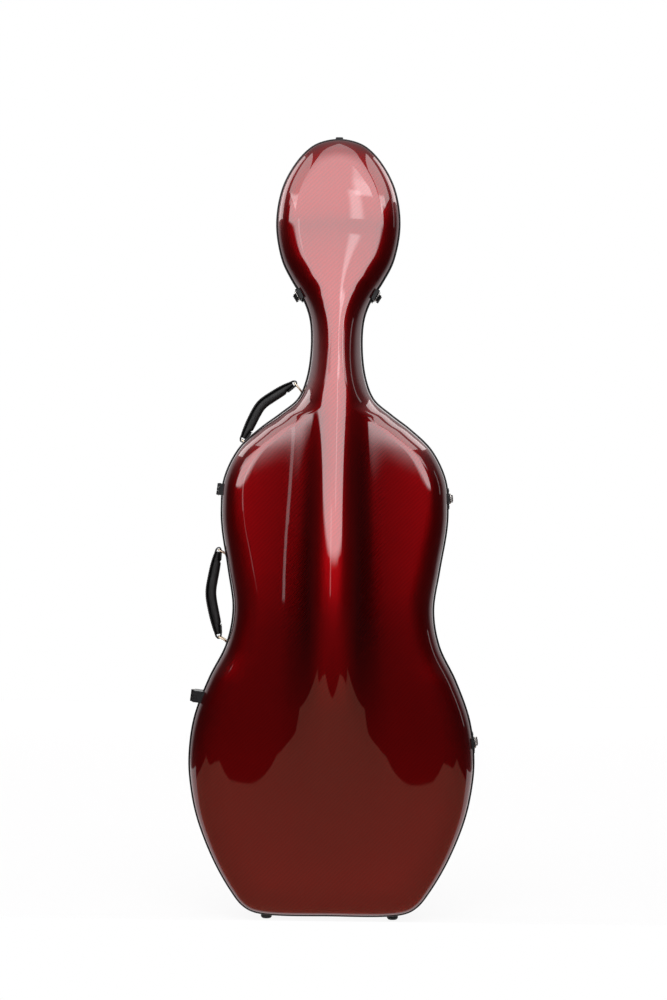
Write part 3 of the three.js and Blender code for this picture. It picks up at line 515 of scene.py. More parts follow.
def twill_group():
    """A two-and-two twill of flat tows: which set lies on top, and how high each tow stands."""
    net, start, end = new_group(
        "twill_weave",
        "ShaderNodeTree",
        [("Place", "Vector"), ("Tow", "Float", 0.002)],
        [("Warp", "Float"), ("Height", "Float")],
    )
    place = net.apart(start["Place"])
    u = net.maths("DIVIDE", place[0], start["Tow"])
    v = net.maths("DIVIDE", place[1], start["Tow"])
    step = net.maths("SUBTRACT", net.maths("FLOOR", u), net.maths("FLOOR", v))
    warp = net.maths("LESS_THAN", net.maths("FLOORED_MODULO", step, 4.0), 1.5)
    crown_u = net.maths("SINE", net.times(net.maths("FRACT", u), math.pi))
    crown_v = net.maths("SINE", net.times(net.maths("FRACT", v), math.pi))
    under = net.times(net.maths("SUBTRACT", 1.0, warp), crown_v)
    net.feed(end["Warp"], warp)
    net.feed(end["Height"], net.maths("ADD", net.times(warp, crown_u), under))
    return net.tree


twill = twill_group()


def lacquer_material():
    material, net = new_material("red_lacquer")
    weave = net.group(twill, Tow=0.0019, Place=net.place("UV"))
    # Each tow is painted darker where it dips beside its neighbours, as shade, and the warp tows lighter than
    # the weft, as a painted sheen of the fibres.
    painted_tow_shade = net.between(weave["Height"], 0.0, 1.0, 0.8, 1.0)
    warp = net.between(weave["Warp"], 0.0, 1.0, 0.82, 1.0)
    cloudy = net.between(net.noise(net.place(), 5.0, 3.0), 0.3, 0.7, 0.92, 1.06)
    # On the lid, painted shade darkens the hollow on each side of the ridge, and painted light brightens the
    # ridge's crest, in place of how the light falls on them. This fades out above the foot and below the
    # neck.
    across, deep, tall = net.apart(net.place())
    aside = net.maths("ABSOLUTE", across)
    below_neck = net.times(net.between(tall, 0.36, 0.5), net.between(tall, 0.8, 0.93, 1.0, 0.0))
    below_neck = net.times(below_neck, net.between(deep, -0.04, -0.02, 1.0, 0.0))
    painted_hollow_shade = net.times(net.between(aside, 0.022, 0.045), net.between(aside, 0.075, 0.15, 1.0, 0.0))
    painted_hollow_shade = net.times(painted_hollow_shade, net.times(below_neck, 0.43))
    painted_ridge_light = net.times(net.between(aside, 0.015, 0.04, 0.75, 0.0), below_neck)
    painted_ridge_light = net.times(painted_ridge_light, net.between(tall, 0.6, 0.78, 1.0, 0.0))
    usual = 0.66
    painted_light_and_shade = net.maths("SUBTRACT", net.maths("ADD", usual, painted_ridge_light), net.times(painted_hollow_shade, usual))
    shade = net.times(painted_tow_shade, warp, cloudy, painted_light_and_shade)
    net.principled(
        Base_Color=net.blend(shade, (0.01, 0.0001, 0.0002, 1), (0.225, 0.0016, 0.003, 1)),
        Metallic=0.85,
        Specular_IOR_Level=0.0,
        Roughness=net.between(weave["Warp"], 0.0, 1.0, 0.4, 0.34),
        Coat_Weight=1.0,
        Coat_Roughness=0.03,
        Coat_IOR=1.7,
        Normal=net.bump(weave["Height"], 0.2, 0.0002),
    )
    return material


red_lacquer = lacquer_material()
for name, side in (("lid_shell", -1), ("base_shell", 1)):
    outer = half_surface(side, fine_rings(12, 30), 0, shell_edge)
    inner = half_surface(side, fine_rings(6, 14), shell_wall, shell_edge)
    as_piece(half_mesh(name + "_moulding", outer, inner, red_lacquer), name)

# Edging: a black angle section round each half, glued over the trimmed fibre.
# Moulded in a fine grain and rubbed smooth here and there by handling.
rim_out, rim_in = 2.7, -3.0
rim_section = [
    (rim_in, rim_gap), (rim_out - 0.9, rim_gap), (rim_out - 0.35, 0.62), (rim_out, 1.2),
    (rim_out, 7.6), (rim_out - 0.3, 8.5), (rim_out - 1.1, rim_depth), (0.35, rim_depth), (0.3, 8.8),
    (0.3, 2.45), (0.25, 2.4), (rim_in, 2.4),
]


def loop_bar(name, section, material):
    """A bar of one section round the whole outline. The section is (outwards, backwards) points."""
    rows = []
    for reach, y in section:
        edge = stations + station_out * reach
        rows.append(np.column_stack([edge[:, 0], np.full(len(edge), y), edge[:, 1]]))
    rows.append(rows[0])
    return put_together(name, np.vstack(rows), grid_faces(len(rows), len(stations)), material)


def fine_grain_group():
    """Moulded grain, and a mask of the places that handling has rubbed."""
    net, start, end = new_group(
        "fine_grain",
        "ShaderNodeTree",
        [("Place", "Vector"), ("Grain", "Float", 900.0), ("Wear", "Float", 24.0)],
        [("Height", "Float"), ("Rubbed", "Float")],
    )
    net.feed(end["Height"], net.noise(start["Place"], start["Grain"]))
    net.feed(end["Rubbed"], net.between(net.noise(start["Place"], start["Wear"], 4.0), 0.3, 0.7))
    return net.tree


fine_grain = fine_grain_group()


def grained_material(name, dark, light, rough, grain=900.0, depth=0.08, **more):
    """A finish with a fine grain, a little lighter and smoother where it is rubbed."""
    material, net = new_material(name)
    finish = net.group(fine_grain, Grain=grain, Place=net.place())
    net.principled(
        Base_Color=net.blend(finish["Rubbed"], (*dark, 1), (*light, 1)),
        Roughness=net.between(finish["Rubbed"], 0.0, 1.0, rough[1], rough[0]),
        Normal=net.bump(finish["Height"], depth, 0.0001),
        **more,
    )
    return material


black_edging = grained_material(
    "black_edging", (0.003, 0.003, 0.0035), (0.008, 0.008, 0.009), (0.24, 0.4), Specular_IOR_Level=0.3
)
for name, side in (("lid_rim", -1), ("base_rim", 1)):
    section = [(out, side * y) for out, y in rim_section]
    as_piece(loop_bar(name + "_edging", section, black_edging), name)

# Seal: a soft extruded rubber strip pressed inside the base edging, with a round lip that
# reaches into the lid and keeps out dust and rain.
seal_out, seal_in, seal_back, lip_centre, lip_steps = -3.3, -7.3, 9.0, -2.0, 8
soft_rubber = grained_material(
    "soft_rubber", (0.005, 0.005, 0.0055), (0.014, 0.014, 0.015), (0.6, 0.85), 1400.0, 0.2,
    Specular_IOR_Level=0.25,
)
lip_radius = (seal_out - seal_in) / 2
seal_section = [(seal_out, seal_back), (seal_in, seal_back), (seal_in, 4.0), (seal_in, 1.0)]
for k in range(lip_steps + 1):
    turn = math.pi * k / lip_steps
    lip_out = seal_out - lip_radius - lip_radius * math.cos(turn)
    seal_section.append((lip_out, lip_centre - lip_radius * math.sin(turn)))
seal_section += [(seal_out, 1.0), (seal_out - 0.6, 1.6), (seal_out - 0.6, 2.4), (seal_out, 3.0)]
as_piece(loop_bar("seal_lip", seal_section, soft_rubber), "seal_strip")

# Linings: sheets of foam covered with a grey brushed pile, glued into both halves.
# They stop just short of the edging.
lining_gap, lining_inner = 3.3, 9.3


def pile_material():
    material, net = new_material("grey_pile")
    fibres = net.noise(net.place(), 1500.0, 3.0, 0.7)
    clumps = net.noise(net.place(), 160.0, 3.0, 0.6)
    brushed = net.noise(net.place(), 9.0)
    tone = net.maths("ADD", net.times(fibres, 0.45), net.times(clumps, 0.35))
    tone = net.between(net.maths("ADD", tone, net.times(brushed, 0.2)), 0.3, 0.7)
    net.principled(
        Base_Color=net.blend(tone, (0.018, 0.019, 0.023, 1), (0.085, 0.088, 0.1, 1)),
        Roughness=net.between(clumps, 0.3, 0.7, 0.85, 0.98),
        Specular_IOR_Level=0.2,
        Sheen_Weight=0.45,
        Sheen_Roughness=0.6,
        Sheen_Tint=(0.75, 0.78, 0.86, 1),
        Normal=net.bump(net.maths("ADD", net.times(fibres, 0.6), clumps), 0.5, 0.0006),
    )
    return material


grey_pile = pile_material()
for name, side in (("lid_lining", -1), ("base_lining", 1)):
    outer = half_surface(side, fine_rings(8, 16), lining_gap, lining_inner)
    inner = half_surface(side, fine_rings(8, 16), lining_inner, lining_inner)
    lining = as_piece(half_mesh(name + "_pile", outer, inner, grey_pile), name)

# Hinges: two black pressed-steel hinges on the left, each with knuckles rolled round a bright pin
# and two flanged leaves, closed at their ends and held by cross-slotted screws.
leaf_top, screw_back, screw_apart = -1.6, 15.0, 5.2
screw_radius, screw_rise, screw_slot = 2.1, 0.9, 0.55
end_depths, end_share = (0.0003, 0.0018), 0.98
black_metal = grained_material(
    "black_metal", (0.003, 0.003, 0.0035), (0.011, 0.011, 0.012), (0.25, 0.45), 1800.0, 0.1,
    Metallic=0.3, Specular_IOR_Level=0.3,
)
nickel = grained_material(
    "nickel", (0.5, 0.48, 0.455), (0.66, 0.64, 0.61), (0.16, 0.32), 1600.0, 0.05, Metallic=1.0
)


def merged_copy(node):
    """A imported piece's surface with its doubles merged and its flat faces whole."""
    shape = bmesh.new()
    shape.from_mesh(frame["nodes"][node].data)
    bmesh.ops.remove_doubles(shape, verts=shape.verts, dist=1e-5)
    bmesh.ops.dissolve_limit(shape, angle_limit=math.radians(1), verts=shape.verts, edges=shape.edges)
    mesh = bpy.data.meshes.new(node + "_finished")
    shape.to_mesh(mesh)
    shape.free()
    return mesh


def worked(node, material, soft=0.35, sharp=33, segments=2):
    """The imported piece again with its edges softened, in its own finish, on its own body."""
    mesh = merged_copy(node)
    mesh.materials.append(material)
    shade_smooth(mesh, sharp)
    piece = linked(node + "_finished", mesh)
    bevel = piece.modifiers.new("soft_edges", "BEVEL")
    bevel.width = soft / 1000
    bevel.segments = segments
    bevel.limit_method = "ANGLE"
    bevel.angle_limit = math.radians(sharp)
    bevel.harden_normals = True
    return as_piece(piece, node)


def stretched_ball(net, segments, rings, size):
    ball = net.add("GeometryNodeMeshUVSphere", Segments=segments, Rings=rings, Radius=1)
    return net.add("GeometryNodeTransform", Geometry=ball.outputs["Mesh"], Scale=size).outputs[0]


def set_on_points(net, points, shape, way, finish, end):
    """Ends a tree with a shape on every point, its axis along a way, made real and in its finish."""
    aim = net.add("FunctionNodeAlignRotationToVector", settings={"axis": "Z"}, Vector=way)
    placed = net.add("GeometryNodeInstanceOnPoints", Points=points, Instance=shape, Rotation=aim.outputs[0])
    real = net.add("GeometryNodeRealizeInstances", placed.outputs[0])
    finished = net.add("GeometryNodeSetMaterial", Geometry=real.outputs[0], Material=finish)
    net.feed(end[0], finished.outputs[0])


def growing_group(name, sizes):
    """A Geometry Nodes group with named sizes and a finish."""
    inputs = [("Geometry", "Geometry"), *((label, "Float", value) for label, value in sizes)]
    return new_group(name, "GeometryNodeTree", [*inputs, ("Finish", "Material")], [("Geometry", "Geometry")])


def fastener_tree():
    """One round head on every point, its axis along the point's "way": plain, or cross-slotted."""
    net, start, end = growing_group("fasteners", [("Radius", 0.002), ("Rise", 0.001), ("Slot", 0.0)])
    flat = net.add("ShaderNodeCombineXYZ", start["Radius"], start["Radius"], start["Rise"])
    head = stretched_ball(net, 16, 8, flat.outputs[0])
    cut = net.add("GeometryNodeMeshBoolean", head, settings={"operation": "DIFFERENCE"})
    lift = net.add("ShaderNodeCombineXYZ", 0, 0, start["Rise"]).outputs[0]
    long, narrow = net.times(start["Radius"], 1.1), start["Slot"]
    for sides in ((long, narrow), (narrow, long)):
        size = net.add("ShaderNodeCombineXYZ", *sides, start["Rise"]).outputs[0]
        bar = net.add("GeometryNodeMeshCube", Size=size).outputs["Mesh"]
        bar = net.add("GeometryNodeTransform", Geometry=bar, Translation=lift).outputs[0]
        net.feed(cut.inputs[1], bar)
    settings = {"data_type": "FLOAT", "operation": "GREATER_THAN"}
    slotted = net.add("FunctionNodeCompare", start["Slot"], 0.0, settings=settings).outputs[0]
    choice = net.add(
        "GeometryNodeSwitch", slotted, head, cut.outputs[0], settings={"input_type": "GEOMETRY"}
    )
    way = net.add("GeometryNodeInputNamedAttribute", "way", settings={"data_type": "FLOAT_VECTOR"})
    set_on_points(net, start["Geometry"], choice.outputs[0], way.outputs["Attribute"], start["Finish"], end)
    return net.tree


fasteners = fastener_tree()


def evaluated(piece):
    return piece.evaluated_get(bpy.context.evaluated_depsgraph_get())


def grown(name, tree, mesh, values, body, sharp=None):
    """What a tree makes of a mesh, as a plain mesh that rides on a body."""
    seeded = linked(name + "_seed", mesh)
    modifier = seeded.modifiers.new("grow", "NODES")
    modifier.node_group = tree
    sockets = {item.name: item.identifier for item in tree.interface.items_tree if item.in_out == "INPUT"}
    for label, value in values.items():
        modifier[sockets[label]] = value
    bpy.context.view_layer.update()
    result = bpy.data.meshes.new_from_object(evaluated(seeded))
    bpy.data.objects.remove(seeded)
    result.name = name
    shade_smooth(result, sharp)
    piece = linked(name, result)
    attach(piece, body)


def heads_at(name, places, radius, rise, slot_width, material, body):
    """Screw or rivet heads at (place, direction) pairs, in metres."""
    mesh = bpy.data.meshes.new(name + "_places")
    mesh.from_pydata([tuple(place) for place, way in places], [], [])
    ways = mesh.attributes.new("way", "FLOAT_VECTOR", "POINT")
    ways.data.foreach_set("vector", [c for place, way in places for c in way])
    values = {"Radius": radius / 1000, "Rise": rise / 1000, "Slot": slot_width / 1000, "Finish": material}
    grown(name, fasteners, mesh, values, body, sharp=38)


def turned_end(node, body, side):
    """The turned-in end of a leaf, which closes the channel between its two flanges."""
    shape = bmesh.new()
    shape.from_mesh(merged_copy(node))
    edge = max(v.co.y * side for v in shape.verts) * side
    ring = [v.co.copy() for v in shape.verts if abs(v.co.y - edge) < 2e-5]
    shape.free()
    middle = sum(ring, Vector()) / len(ring)
    plate = bmesh.new()
    for inset in end_depths:
        for corner in ring:
            plate.verts.new(middle + (corner - middle) * end_share - Vector((0, side * inset, 0)))
    hull = bmesh.ops.convex_hull(plate, input=plate.verts)
    spare = [v for v in hull["geom_interior"] if isinstance(v, bmesh.types.BMVert)]
    bmesh.ops.delete(plate, geom=spare, context="VERTS")
    bmesh.ops.recalc_face_normals(plate, faces=plate.faces)
    mesh = bpy.data.meshes.new(node + "_turned_end")
    plate.to_mesh(mesh)
    plate.free()
    mesh.materials.append(black_metal)
    piece = linked(node + "_turned_end", mesh)
    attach(piece, body)


joints = {joint["child"]: joint for joint in frame["joints"]}
swing_way = Vector(joints["lid"]["axis"])
hinge_out = Vector((swing_way.z, 0, -swing_way.x)).normalized()
if hinge_out.x > 0:
    hinge_out.negate()
along_pin = swing_way * (1 if swing_way.z > 0 else -1)
for name in ("upper_hinge", "lower_hinge"):
    low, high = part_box(name + "_pin")
    centre = (low + high) / 2
    for body, side in (("base", 1), ("lid", -1)):
        leaf = f"{name}_{body}_leaf"
        worked(leaf, black_metal, 0.3)
        turned_end(leaf, body, side)
        places = []
        for step in (-screw_apart, screw_apart):
            away = hinge_out * leaf_top + along_pin * step + Vector((0, side * screw_back, 0))
            places.append((centre + away / 1000, hinge_out))
        heads_at(
            leaf + "_screws", places, screw_radius, screw_rise, screw_slot, black_metal, body
        )
    worked(f"{name}_pin", nickel, 0.4)

# Latches: draw latches with a sprung steel lever on two ears and a wire bail that hooks over the
# keeper on the lid. Two large bright ones on the right and a small black one each side of the neck.
bail_wire, bail_half, bail_reach, wire_sides, bend_steps = 1.1, 7.8, 30.5, 12, 6
pivot_height, pivot_back = 4.4, 14
rivet_radius, rivet_rise, rivet_inset = 1.8, 0.7, 4.5
back_rivets, front_rivets, keeper_rivets, keeper_step = 30, 6, -15.5, 5
small_plate = 15
latch_looks = {
    "upper_latch": (nickel, "nickel", 1, 18),
    "lower_latch": (nickel, "nickel", 1, 18),
    "right_neck_latch": (black_metal, "black_metal", 1, 12),
    "left_neck_latch": (black_metal, "black_metal", -1, 12),
}


def wire_loop(name, node, start, ahead, across, length, half, radius, material):
    """A closed wire in a plane: a rectangle with rounded corners, swept with a round section."""
    bend = radius * 2.1
    far, side = length - bend, half - bend
    path = []
    for a, b, first in ((bend, -side, 180), (far, -side, 270), (far, side, 0), (bend, side, 90)):
        for k in range(bend_steps + 1):
            turn = math.radians(first + 90 * k / bend_steps)
            path.append((a + bend * math.cos(turn), b + bend * math.sin(turn)))
    path = np.array(path)
    before, after = np.roll(path, 1, axis=0), np.roll(path, -1, axis=0)
    out = np.column_stack([after[:, 1] - before[:, 1], before[:, 0] - after[:, 0]])
    out /= np.linalg.norm(out, axis=1)[:, None]
    up = np.cross(ahead, across)
    points = []
    for k in range(wire_sides + 1):
        turn = 2 * math.pi * k / wire_sides
        flat = path + out * radius * math.cos(turn)
        points.append(flat[:, :1] * ahead + flat[:, 1:] * across + up * radius * math.sin(turn))
    points = np.vstack(points) + np.array(start) * 1000 - (0, seam, 0)
    return as_piece(put_together(name, points, grid_faces(wire_sides + 1, len(path)), material), node)


for name, (look, slot, side, plate_half) in latch_looks.items():
    worked(name + "_plate", black_metal)
    worked(name + "_keeper", black_metal)
    worked(name + "_pin", nickel, 0.2, 38)
    worked(name + "_lever", look, 0.5)
    pivot = joints[name + "_lever"]
    bend_way = Vector(pivot["axis"]).normalized()
    out = bend_way.cross(Vector((0, 1, 0))).normalized()
    if out.x * side < 0:
        out.negate()
    wire_loop(
        name + "_bail_wire", name + "_bail", joints[name + "_bail"]["pos_m"], np.array((0, -1, 0)),
        np.array(bend_way), bail_reach, bail_half, bail_wire, nickel,
    )
    foot = Vector(pivot["pos_m"]) - out * (pivot_height / 1000) - Vector((0, pivot_back / 1000, 0))
    wide = plate_half - rivet_inset
    rows = (back_rivets,) if plate_half < small_plate else (back_rivets, front_rivets)
    plate_places = [(back, step) for back in rows for step in (wide, -wide)]
    keeper_places = [(keeper_rivets, keeper_step), (keeper_rivets, -keeper_step)]
    for part, body, places in (("plate", "base", plate_places), ("keeper", "lid", keeper_places)):
        spots = [(foot + (Vector((0, back, 0)) + bend_way * step) / 1000, out) for back, step in places]
        heads_at(f"{name}_{part}_rivets", spots, rivet_radius, rivet_rise, 0.0, look, body)

# Carrying handles: a padded leather grip between two brass-coloured wire rings that turn in
# brackets on the base. A strap runs along its outside, folds round both rings and is stitched down.
ring_wire, ring_half = 1.5, 15.0
strap_thick, fold_thick, fold_length, fold_steps = 2.8, 2.0, 19.0, 12
grip_thick, grip_width, grip_eye, grip_rows = 18.4, 22.4, 4.6, 81
core_inset, seam_inset, stitch_sink = 1.2, 2.6, 0.05
core_fullness, core_points, strap_fullness, strap_points = 2.8, 32, 5, 20
core_rows, stitched_rows = slice(2, -2), slice(6, -6)
fold_past, fold_fade, smoothing_rounds = 3, 4, 7
stitch_pitch, stitch_share, thread = 3.0, 0.72, 0.00042
handle_sizes = {"upper_handle": (130, 19.4, 7.8, 0.125), "lower_handle": (150.6, 15.8, 15.8, 0.09)}
grip_shares = np.array([
    (0, 0, 0.6), (0.06, 0.12, 0.72), (0.12, 0.27, 0.88), (0.22, 0.5, 0.98), (0.36, 0.8, 1), (0.45, 0.98, 1),
    (0.53, 1, 1), (0.63, 0.83, 1), (0.78, 0.48, 0.98), (0.89, 0.2, 0.88), (0.95, 0.08, 0.72), (1, 0, 0.6),
])


def leather_material():
    material, net = new_material("black_leather")
    finish = net.group(fine_grain, Grain=700.0, Wear=45.0, Place=net.place())
    settings = {"feature": "DISTANCE_TO_EDGE"}
    pebbles = net.add("ShaderNodeTexVoronoi", settings=settings, Scale=950.0, Vector=net.place())
    crease = net.between(pebbles.outputs["Distance"], 0.0, 0.18)
    relief = net.maths("ADD", net.times(crease, 0.7), net.times(finish["Height"], 0.3))
    # The grain's creases are painted darker, as shade, and rubbed places are lighter with wear.
    tone = net.times(net.between(crease, 0.0, 1.0, 0.55), net.between(finish["Rubbed"], 0.0, 1.0, 0.55))
    net.principled(
        Base_Color=net.blend(tone, (0.0015, 0.0015, 0.0015, 1), (0.01, 0.0105, 0.0105, 1)),
        Roughness=net.between(finish["Rubbed"], 0.0, 1.0, 0.52, 0.4),
        Specular_IOR_Level=0.2,
        Normal=net.bump(relief, 0.25, 0.00015),
    )
    return material


black_leather = leather_material()
brass_wire = grained_material(
    "brass_wire", (0.5, 0.42, 0.3), (0.66, 0.58, 0.45), (0.16, 0.3), 1600.0, 0.05, Metallic=1.0
)
waxed_thread = grained_material(
    "waxed_thread", (0.02, 0.02, 0.022), (0.05, 0.05, 0.052), (0.4, 0.6), 2500.0, 0.3
)


def lofted(name, rows, material):
    """A closed skin through rings of points in metres, with both ends closed."""
    count = len(rows[0])
    points = np.vstack(rows) * 1000 - (0, seam, 0)
    faces = grid_faces(len(rows), count)
    faces.append(tuple(range(count))[::-1])
    faces.append(tuple(range((len(rows) - 1) * count, len(rows) * count)))
    return put_together(name, points, faces, material)


def rounded_section(thick, wide, power, count):
    turns = 2 * np.pi * (np.arange(count) + 0.5) / count
    c, s = np.cos(turns), np.sin(turns)
    return np.sign(c) * np.abs(c) ** (2 / power) * thick / 2, np.sign(s) * np.abs(s) ** (2 / power) * wide / 2


def swept(name, centres, normals, thicks, wides, power, count, y):
    """A leather bar along centres (x, z) in millimetres, with its thickness along the normals."""
    rows = []
    for centre, normal, thick, wide in zip(centres, normals, thicks, wides):
        off, level = rounded_section(thick, wide, power, count)
        ring = [centre[0] + normal[0] * off, y + level, centre[1] + normal[1] * off]
        rows.append(np.column_stack(ring) / 1000)
    return lofted(name, rows, black_leather)


def stitch_tree():
    """Short stitches laid end to end along a line, one every "Pitch"."""
    net, start, end = growing_group("stitches", [("Pitch", 0.003), ("Length", 0.0022), ("Thread", 0.0004)])
    line = net.add("GeometryNodeMeshToCurve", start["Geometry"]).outputs[0]
    spots = net.add(
        "GeometryNodeCurveToPoints", settings={"mode": "LENGTH"}, Curve=line, Length=start["Pitch"]
    ).outputs
    half = net.times(start["Length"], 0.5)
    size = net.add("ShaderNodeCombineXYZ", start["Thread"], start["Thread"], half)
    stitch = stretched_ball(net, 8, 6, size.outputs[0])
    set_on_points(net, spots["Points"], stitch, spots["Tangent"], start["Finish"], end)
    return net.tree


stitches = stitch_tree()


def stitched(name, lines, body, pitch=stitch_pitch):
    """Rows of stitches along lines of points in metres."""
    points, edges = [], []
    for line in lines:
        edges += [(len(points) + k, len(points) + k + 1) for k in range(len(line) - 1)]
        points += [tuple(point) for point in line]
    mesh = bpy.data.meshes.new(name + "_line")
    mesh.from_pydata(points, edges, [])
    length = pitch * stitch_share / 1000
    values = {"Pitch": pitch / 1000, "Length": length, "Thread": thread, "Finish": waxed_thread}
    grown(name, stitches, mesh, values, body)


def leather_grip(name, upper, lower, rise_share, y):
    """A padded core with a strap round it, along a bent line between the two rings' bars."""
    span = lower - upper
    reach = np.linalg.norm(span)
    ahead = span / reach
    out = np.array((ahead[1], -ahead[0]))
    ways = np.linspace(0, 1, grip_rows)
    rises = np.interp(ways, grip_shares[:, 0], grip_shares[:, 1])
    thicks = np.interp(ways, grip_shares[:, 0], grip_shares[:, 2]) * grip_thick
    for _ in range(smoothing_rounds):
        rises[1:-1] = (rises[:-2] + rises[2:]) / 2
        thicks[1:-1] = (thicks[:-2] + thicks[2:]) / 2
    path = upper + ways[:, None] * span + (rises * rise_share * reach)[:, None] * out
    heading = np.gradient(path, axis=0)
    heading /= np.linalg.norm(heading, axis=1)[:, None]
    normal = np.column_stack([heading[:, 1], -heading[:, 0]])
    ends = np.minimum(ways, 1 - ways) * reach
    # The core gives way to the strap along its outside, and along its inside where the strap's end lies.
    # It stops two rows short of each ring.
    folded = np.clip((fold_length + fold_past - ends) / fold_fade, 0, 1)
    inner = -thicks / 2 + strap_thick * folded
    outer = thicks / 2 - strap_thick
    core_centres = path + normal * ((inner + outer) / 2)[:, None]
    core_wides = np.full(grip_rows, grip_width - core_inset)
    core_shape = [part[core_rows] for part in (core_centres, normal, outer - inner, core_wides)]
    core = swept(name + "_core", *core_shape, core_fullness, core_points, y)
    strap_at = thicks / 2 - strap_thick / 2
    upper_fold = [k for k in range(1, grip_rows // 2) if ends[k] < fold_length][::-1]
    lower_fold = [k for k in range(grip_rows // 2 + 1, grip_rows - 1) if ends[k] < fold_length][::-1]

    def laid_under(fold):
        return [(path[k] - normal[k] * strap_at[k], -normal[k], strap_thick) for k in fold]

    def round_the_ring(at, first, second):
        rows = []
        for k in range(1, fold_steps):
            turn = math.pi * k / fold_steps
            way = first * math.cos(turn) + second * math.sin(turn)
            rows.append((at + way * (grip_eye - fold_thick / 2), way, fold_thick))
        return rows

    outside = path + normal * strap_at[:, None]
    band_rows = laid_under(upper_fold) + round_the_ring(path[0], -normal[0], -heading[0])
    band_rows += [(centre, way, strap_thick) for centre, way in zip(outside, normal)]
    band_rows += round_the_ring(path[-1], normal[-1], heading[-1]) + laid_under(lower_fold)
    centres, normals, band_thicks = zip(*band_rows)
    count = len(band_rows)
    # The strap's two ends are narrowed and thinned, row by row.
    rounding = np.minimum(np.arange(count), np.arange(count)[::-1])
    wides = grip_width * np.clip(0.72 + 0.1 * rounding, 0, 1)
    flats = np.array(band_thicks) * np.clip(0.55 + 0.25 * rounding, 0, 1)
    band = swept(name + "_strap", centres, normals, flats, wides, strap_fullness, strap_points, y)
    lines = [(path + normal * (thicks / 2 - stitch_sink)[:, None])[stitched_rows]]
    for fold in (upper_fold[2:], lower_fold[:1:-1]):
        lines.append([path[k] - normal[k] * (thicks[k] / 2 - stitch_sink) for k in fold])
    rows = []
    for edge in (-1, 1):
        level = y + edge * (grip_width / 2 - seam_inset)
        rows += [[(x / 1000, level / 1000, z / 1000) for x, z in line] for line in lines]
    stitched(name + "_stitching", rows, name)
    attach(core, name)
    as_piece(band, name)


for name, (angle, top_length, bottom_length, rise_share) in handle_sizes.items():
    way = np.array((math.cos(math.radians(angle)), math.sin(math.radians(angle))))
    eyes = []
    for part, length in (("top", top_length), ("bottom", bottom_length)):
        ring = f"{name}_{part}_ring"
        pivot = joints[ring]["pos_m"]
        low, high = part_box(ring)
        middle = (low.y + high.y) / 2
        wire_loop(
            ring + "_wire", ring, (pivot[0], middle, pivot[2]), np.array((way[0], 0, way[1])),
            np.array((0, 1, 0)), length, ring_half, ring_wire, brass_wire,
        )
        eyes.append(np.array((pivot[0], pivot[2])) * 1000 + way * length)
        worked(f"{name}_{part}_bracket", nickel, 0.3)
    leather_grip(name + "_grip", eyes[0], eyes[1], rise_share, middle * 1000)

# Feet and buffer: turned rubber feet under the foot end and a small rubber block on the head,
# fixed from inside.
hard_rubber = grained_material(
    "hard_rubber", (0.003, 0.003, 0.003), (0.009, 0.009, 0.009), (0.5, 0.75), 1100.0, 0.2,
    Specular_IOR_Level=0.25,
)
for end in ("front", "rear"):
    for side in ("left", "right"):
        worked(f"{end}_{side}_foot", hard_rubber, 0.8, 30, 3)
worked("head_buffer", hard_rubber, 0.6, 30, 3)

# Pads: blocks of foam under the same pile, glued to the base lining, that hold the instrument
# clear of the shell at its foot, waist, shoulders and neck.
pad_shrink, pad_swell, pad_pressure, pad_frames, pad_voxel, pad_fill = 2.5, 4.5, 4, 20, 0.005, 0.85


def swollen(piece):
    """Each point's place, and its move, up to a cap, when the piece swells as cloth under pressure."""
    cloth = piece.modifiers.new("swell", "CLOTH")
    cloth.settings.use_pressure = True
    cloth.settings.uniform_pressure_force = pad_pressure
    cloth.settings.effector_weights.gravity = 0
    cloth.point_cache.frame_start, cloth.point_cache.frame_end = 1, pad_frames
    for step in range(1, pad_frames + 1):
        bpy.context.scene.frame_set(step)
    rest = np.array([tuple(vert.co) for vert in piece.data.vertices])
    moved = np.array([tuple(vert.co) for vert in evaluated(piece).data.vertices]) - rest
    far = np.maximum(np.linalg.norm(moved, axis=1), 1e-9)
    piece.modifiers.clear()
    return rest, moved * (np.minimum(far, pad_swell / 1000) / far)[:, None]


def plumped(node):
    """A foam block blown up a little inside its cover."""
    mesh = merged_copy(node)
    shape = bmesh.new()
    shape.from_mesh(mesh)
    bmesh.ops.triangulate(shape, faces=shape.faces)
    low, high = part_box(node)
    centre = (low + high) / 2
    for vert in shape.verts:
        for axis in range(3):
            off = vert.co[axis] - centre[axis]
            half = (high[axis] - low[axis]) / 2
            vert.co[axis] = centre[axis] + off * (half - pad_shrink / 1000) / half
    shape.to_mesh(mesh)
    shape.free()
    piece = linked(node + "_cover", mesh)
    remesh = piece.modifiers.new("even", "REMESH")
    remesh.mode = "VOXEL"
    remesh.voxel_size = pad_voxel
    bpy.context.view_layer.update()
    even = bpy.data.meshes.new_from_object(evaluated(piece))
    piece.modifiers.clear()
    piece.data = even
    rest, moved = swollen(piece)
    even.vertices.foreach_set("co", (rest + moved).ravel())
    bpy.context.scene.frame_set(1)
    shade_smooth(even)
    even.materials.clear()
    even.materials.append(grey_pile)
    smooth = piece.modifiers.new("smooth", "SUBSURF")
    smooth.levels = smooth.render_levels = 1
    as_piece(piece, node)


for name in ("foot", "left_waist", "right_waist", "left_shoulder", "right_shoulder"):
    plumped(name + "_pad")
plumped("neck_cradle")

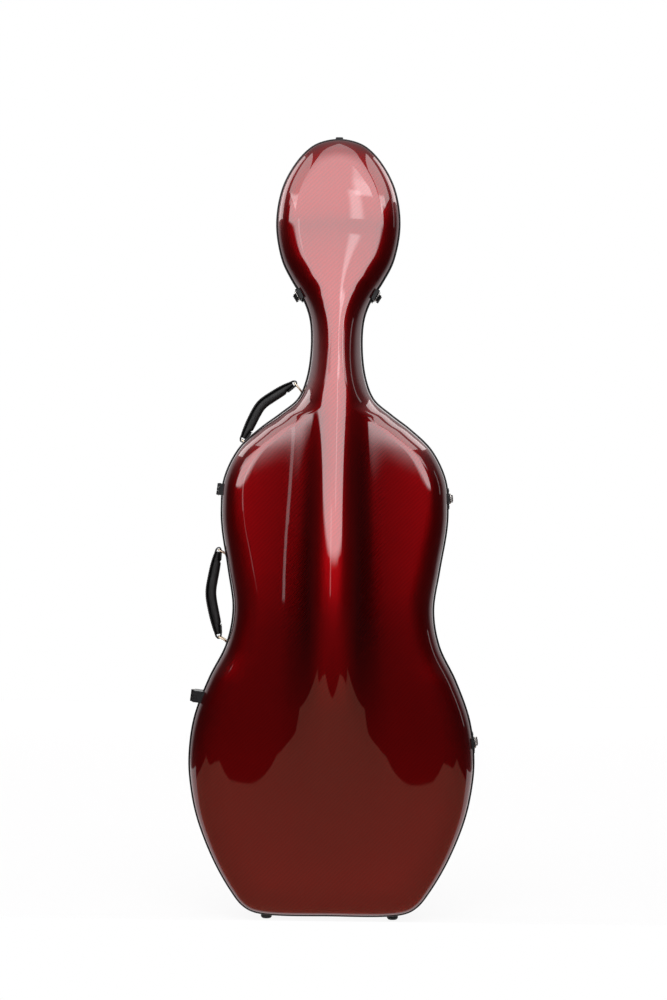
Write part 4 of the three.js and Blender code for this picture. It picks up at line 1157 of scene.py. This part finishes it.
# Neck strap: flat black webbing across the neck cradle, held stretched, its ends sewn down with
# a crossed box of stitches.
web_thick, web_rows, web_points, tapered = 1.5, 40, 20, 0.55
rib_pitch, cord_pitch = 0.0016, 0.0024
box_inner, box_outer, box_inset, box_face, box_pitch = 14, 3, 0.003, 0.00072, 2.4


def webbing_material():
    material, net = new_material("webbing")
    place = net.apart(net.place())
    ribs = net.maths("SINE", net.times(place[0], 2 * math.pi / rib_pitch))
    cords = net.maths("SINE", net.times(place[2], 2 * math.pi / cord_pitch))
    weave = net.between(net.times(ribs, cords), -1.0, 1.0)
    net.principled(
        Base_Color=net.blend(weave, (0.008, 0.008, 0.009, 1), (0.035, 0.035, 0.038, 1)),
        Roughness=net.between(weave, 0.0, 1.0, 0.85, 0.65),
        Sheen_Weight=0.2,
        Normal=net.bump(weave, 0.6, 0.0003),
    )
    return material


low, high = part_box("neck_strap")
strap_half = (high.x - low.x) / 2 * 1000
strap_y = (low.y + high.y) / 2 * 1000
rings = []
for k in range(web_rows + 1):
    x = -strap_half + 2 * strap_half * k / web_rows
    thick = web_thick * (tapered if k in (0, web_rows) else 1)
    flat, wide = rounded_section(thick, (high.z - low.z) * 1000 - 0.4, 6, web_points)
    ring = [np.full(web_points, x), strap_y + flat, (low.z + high.z) * 500 + wide]
    rings.append(np.column_stack(ring) / 1000)
strap = as_piece(lofted("neck_strap_webbing", rings, webbing_material()), "neck_strap")
boxes = []
face = strap_y / 1000 - box_face
bottom, top = low.z + box_inset, high.z - box_inset
for end in (-1, 1):
    inner_x, outer_x = end * (strap_half - box_inner) / 1000, end * (strap_half - box_outer) / 1000
    corners = ((inner_x, bottom), (outer_x, bottom), (outer_x, top), (inner_x, top))
    a, b, c, d = ((x, face, z) for x, z in corners)
    boxes += [[a, b, c, d, a], [a, c], [b, d]]
stitched("neck_strap_stitching", boxes, "base", box_pitch)

# Bow clips: moulded rubber-faced posts in the lid, each with a bar that turns on a stem to
# lock the bow's stick.
for side in ("left", "right"):
    worked(f"{side}_bow_clip_post", hard_rubber, 0.4)
    worked(f"{side}_bow_clip_bar", hard_rubber, 0.6, 33, 3)
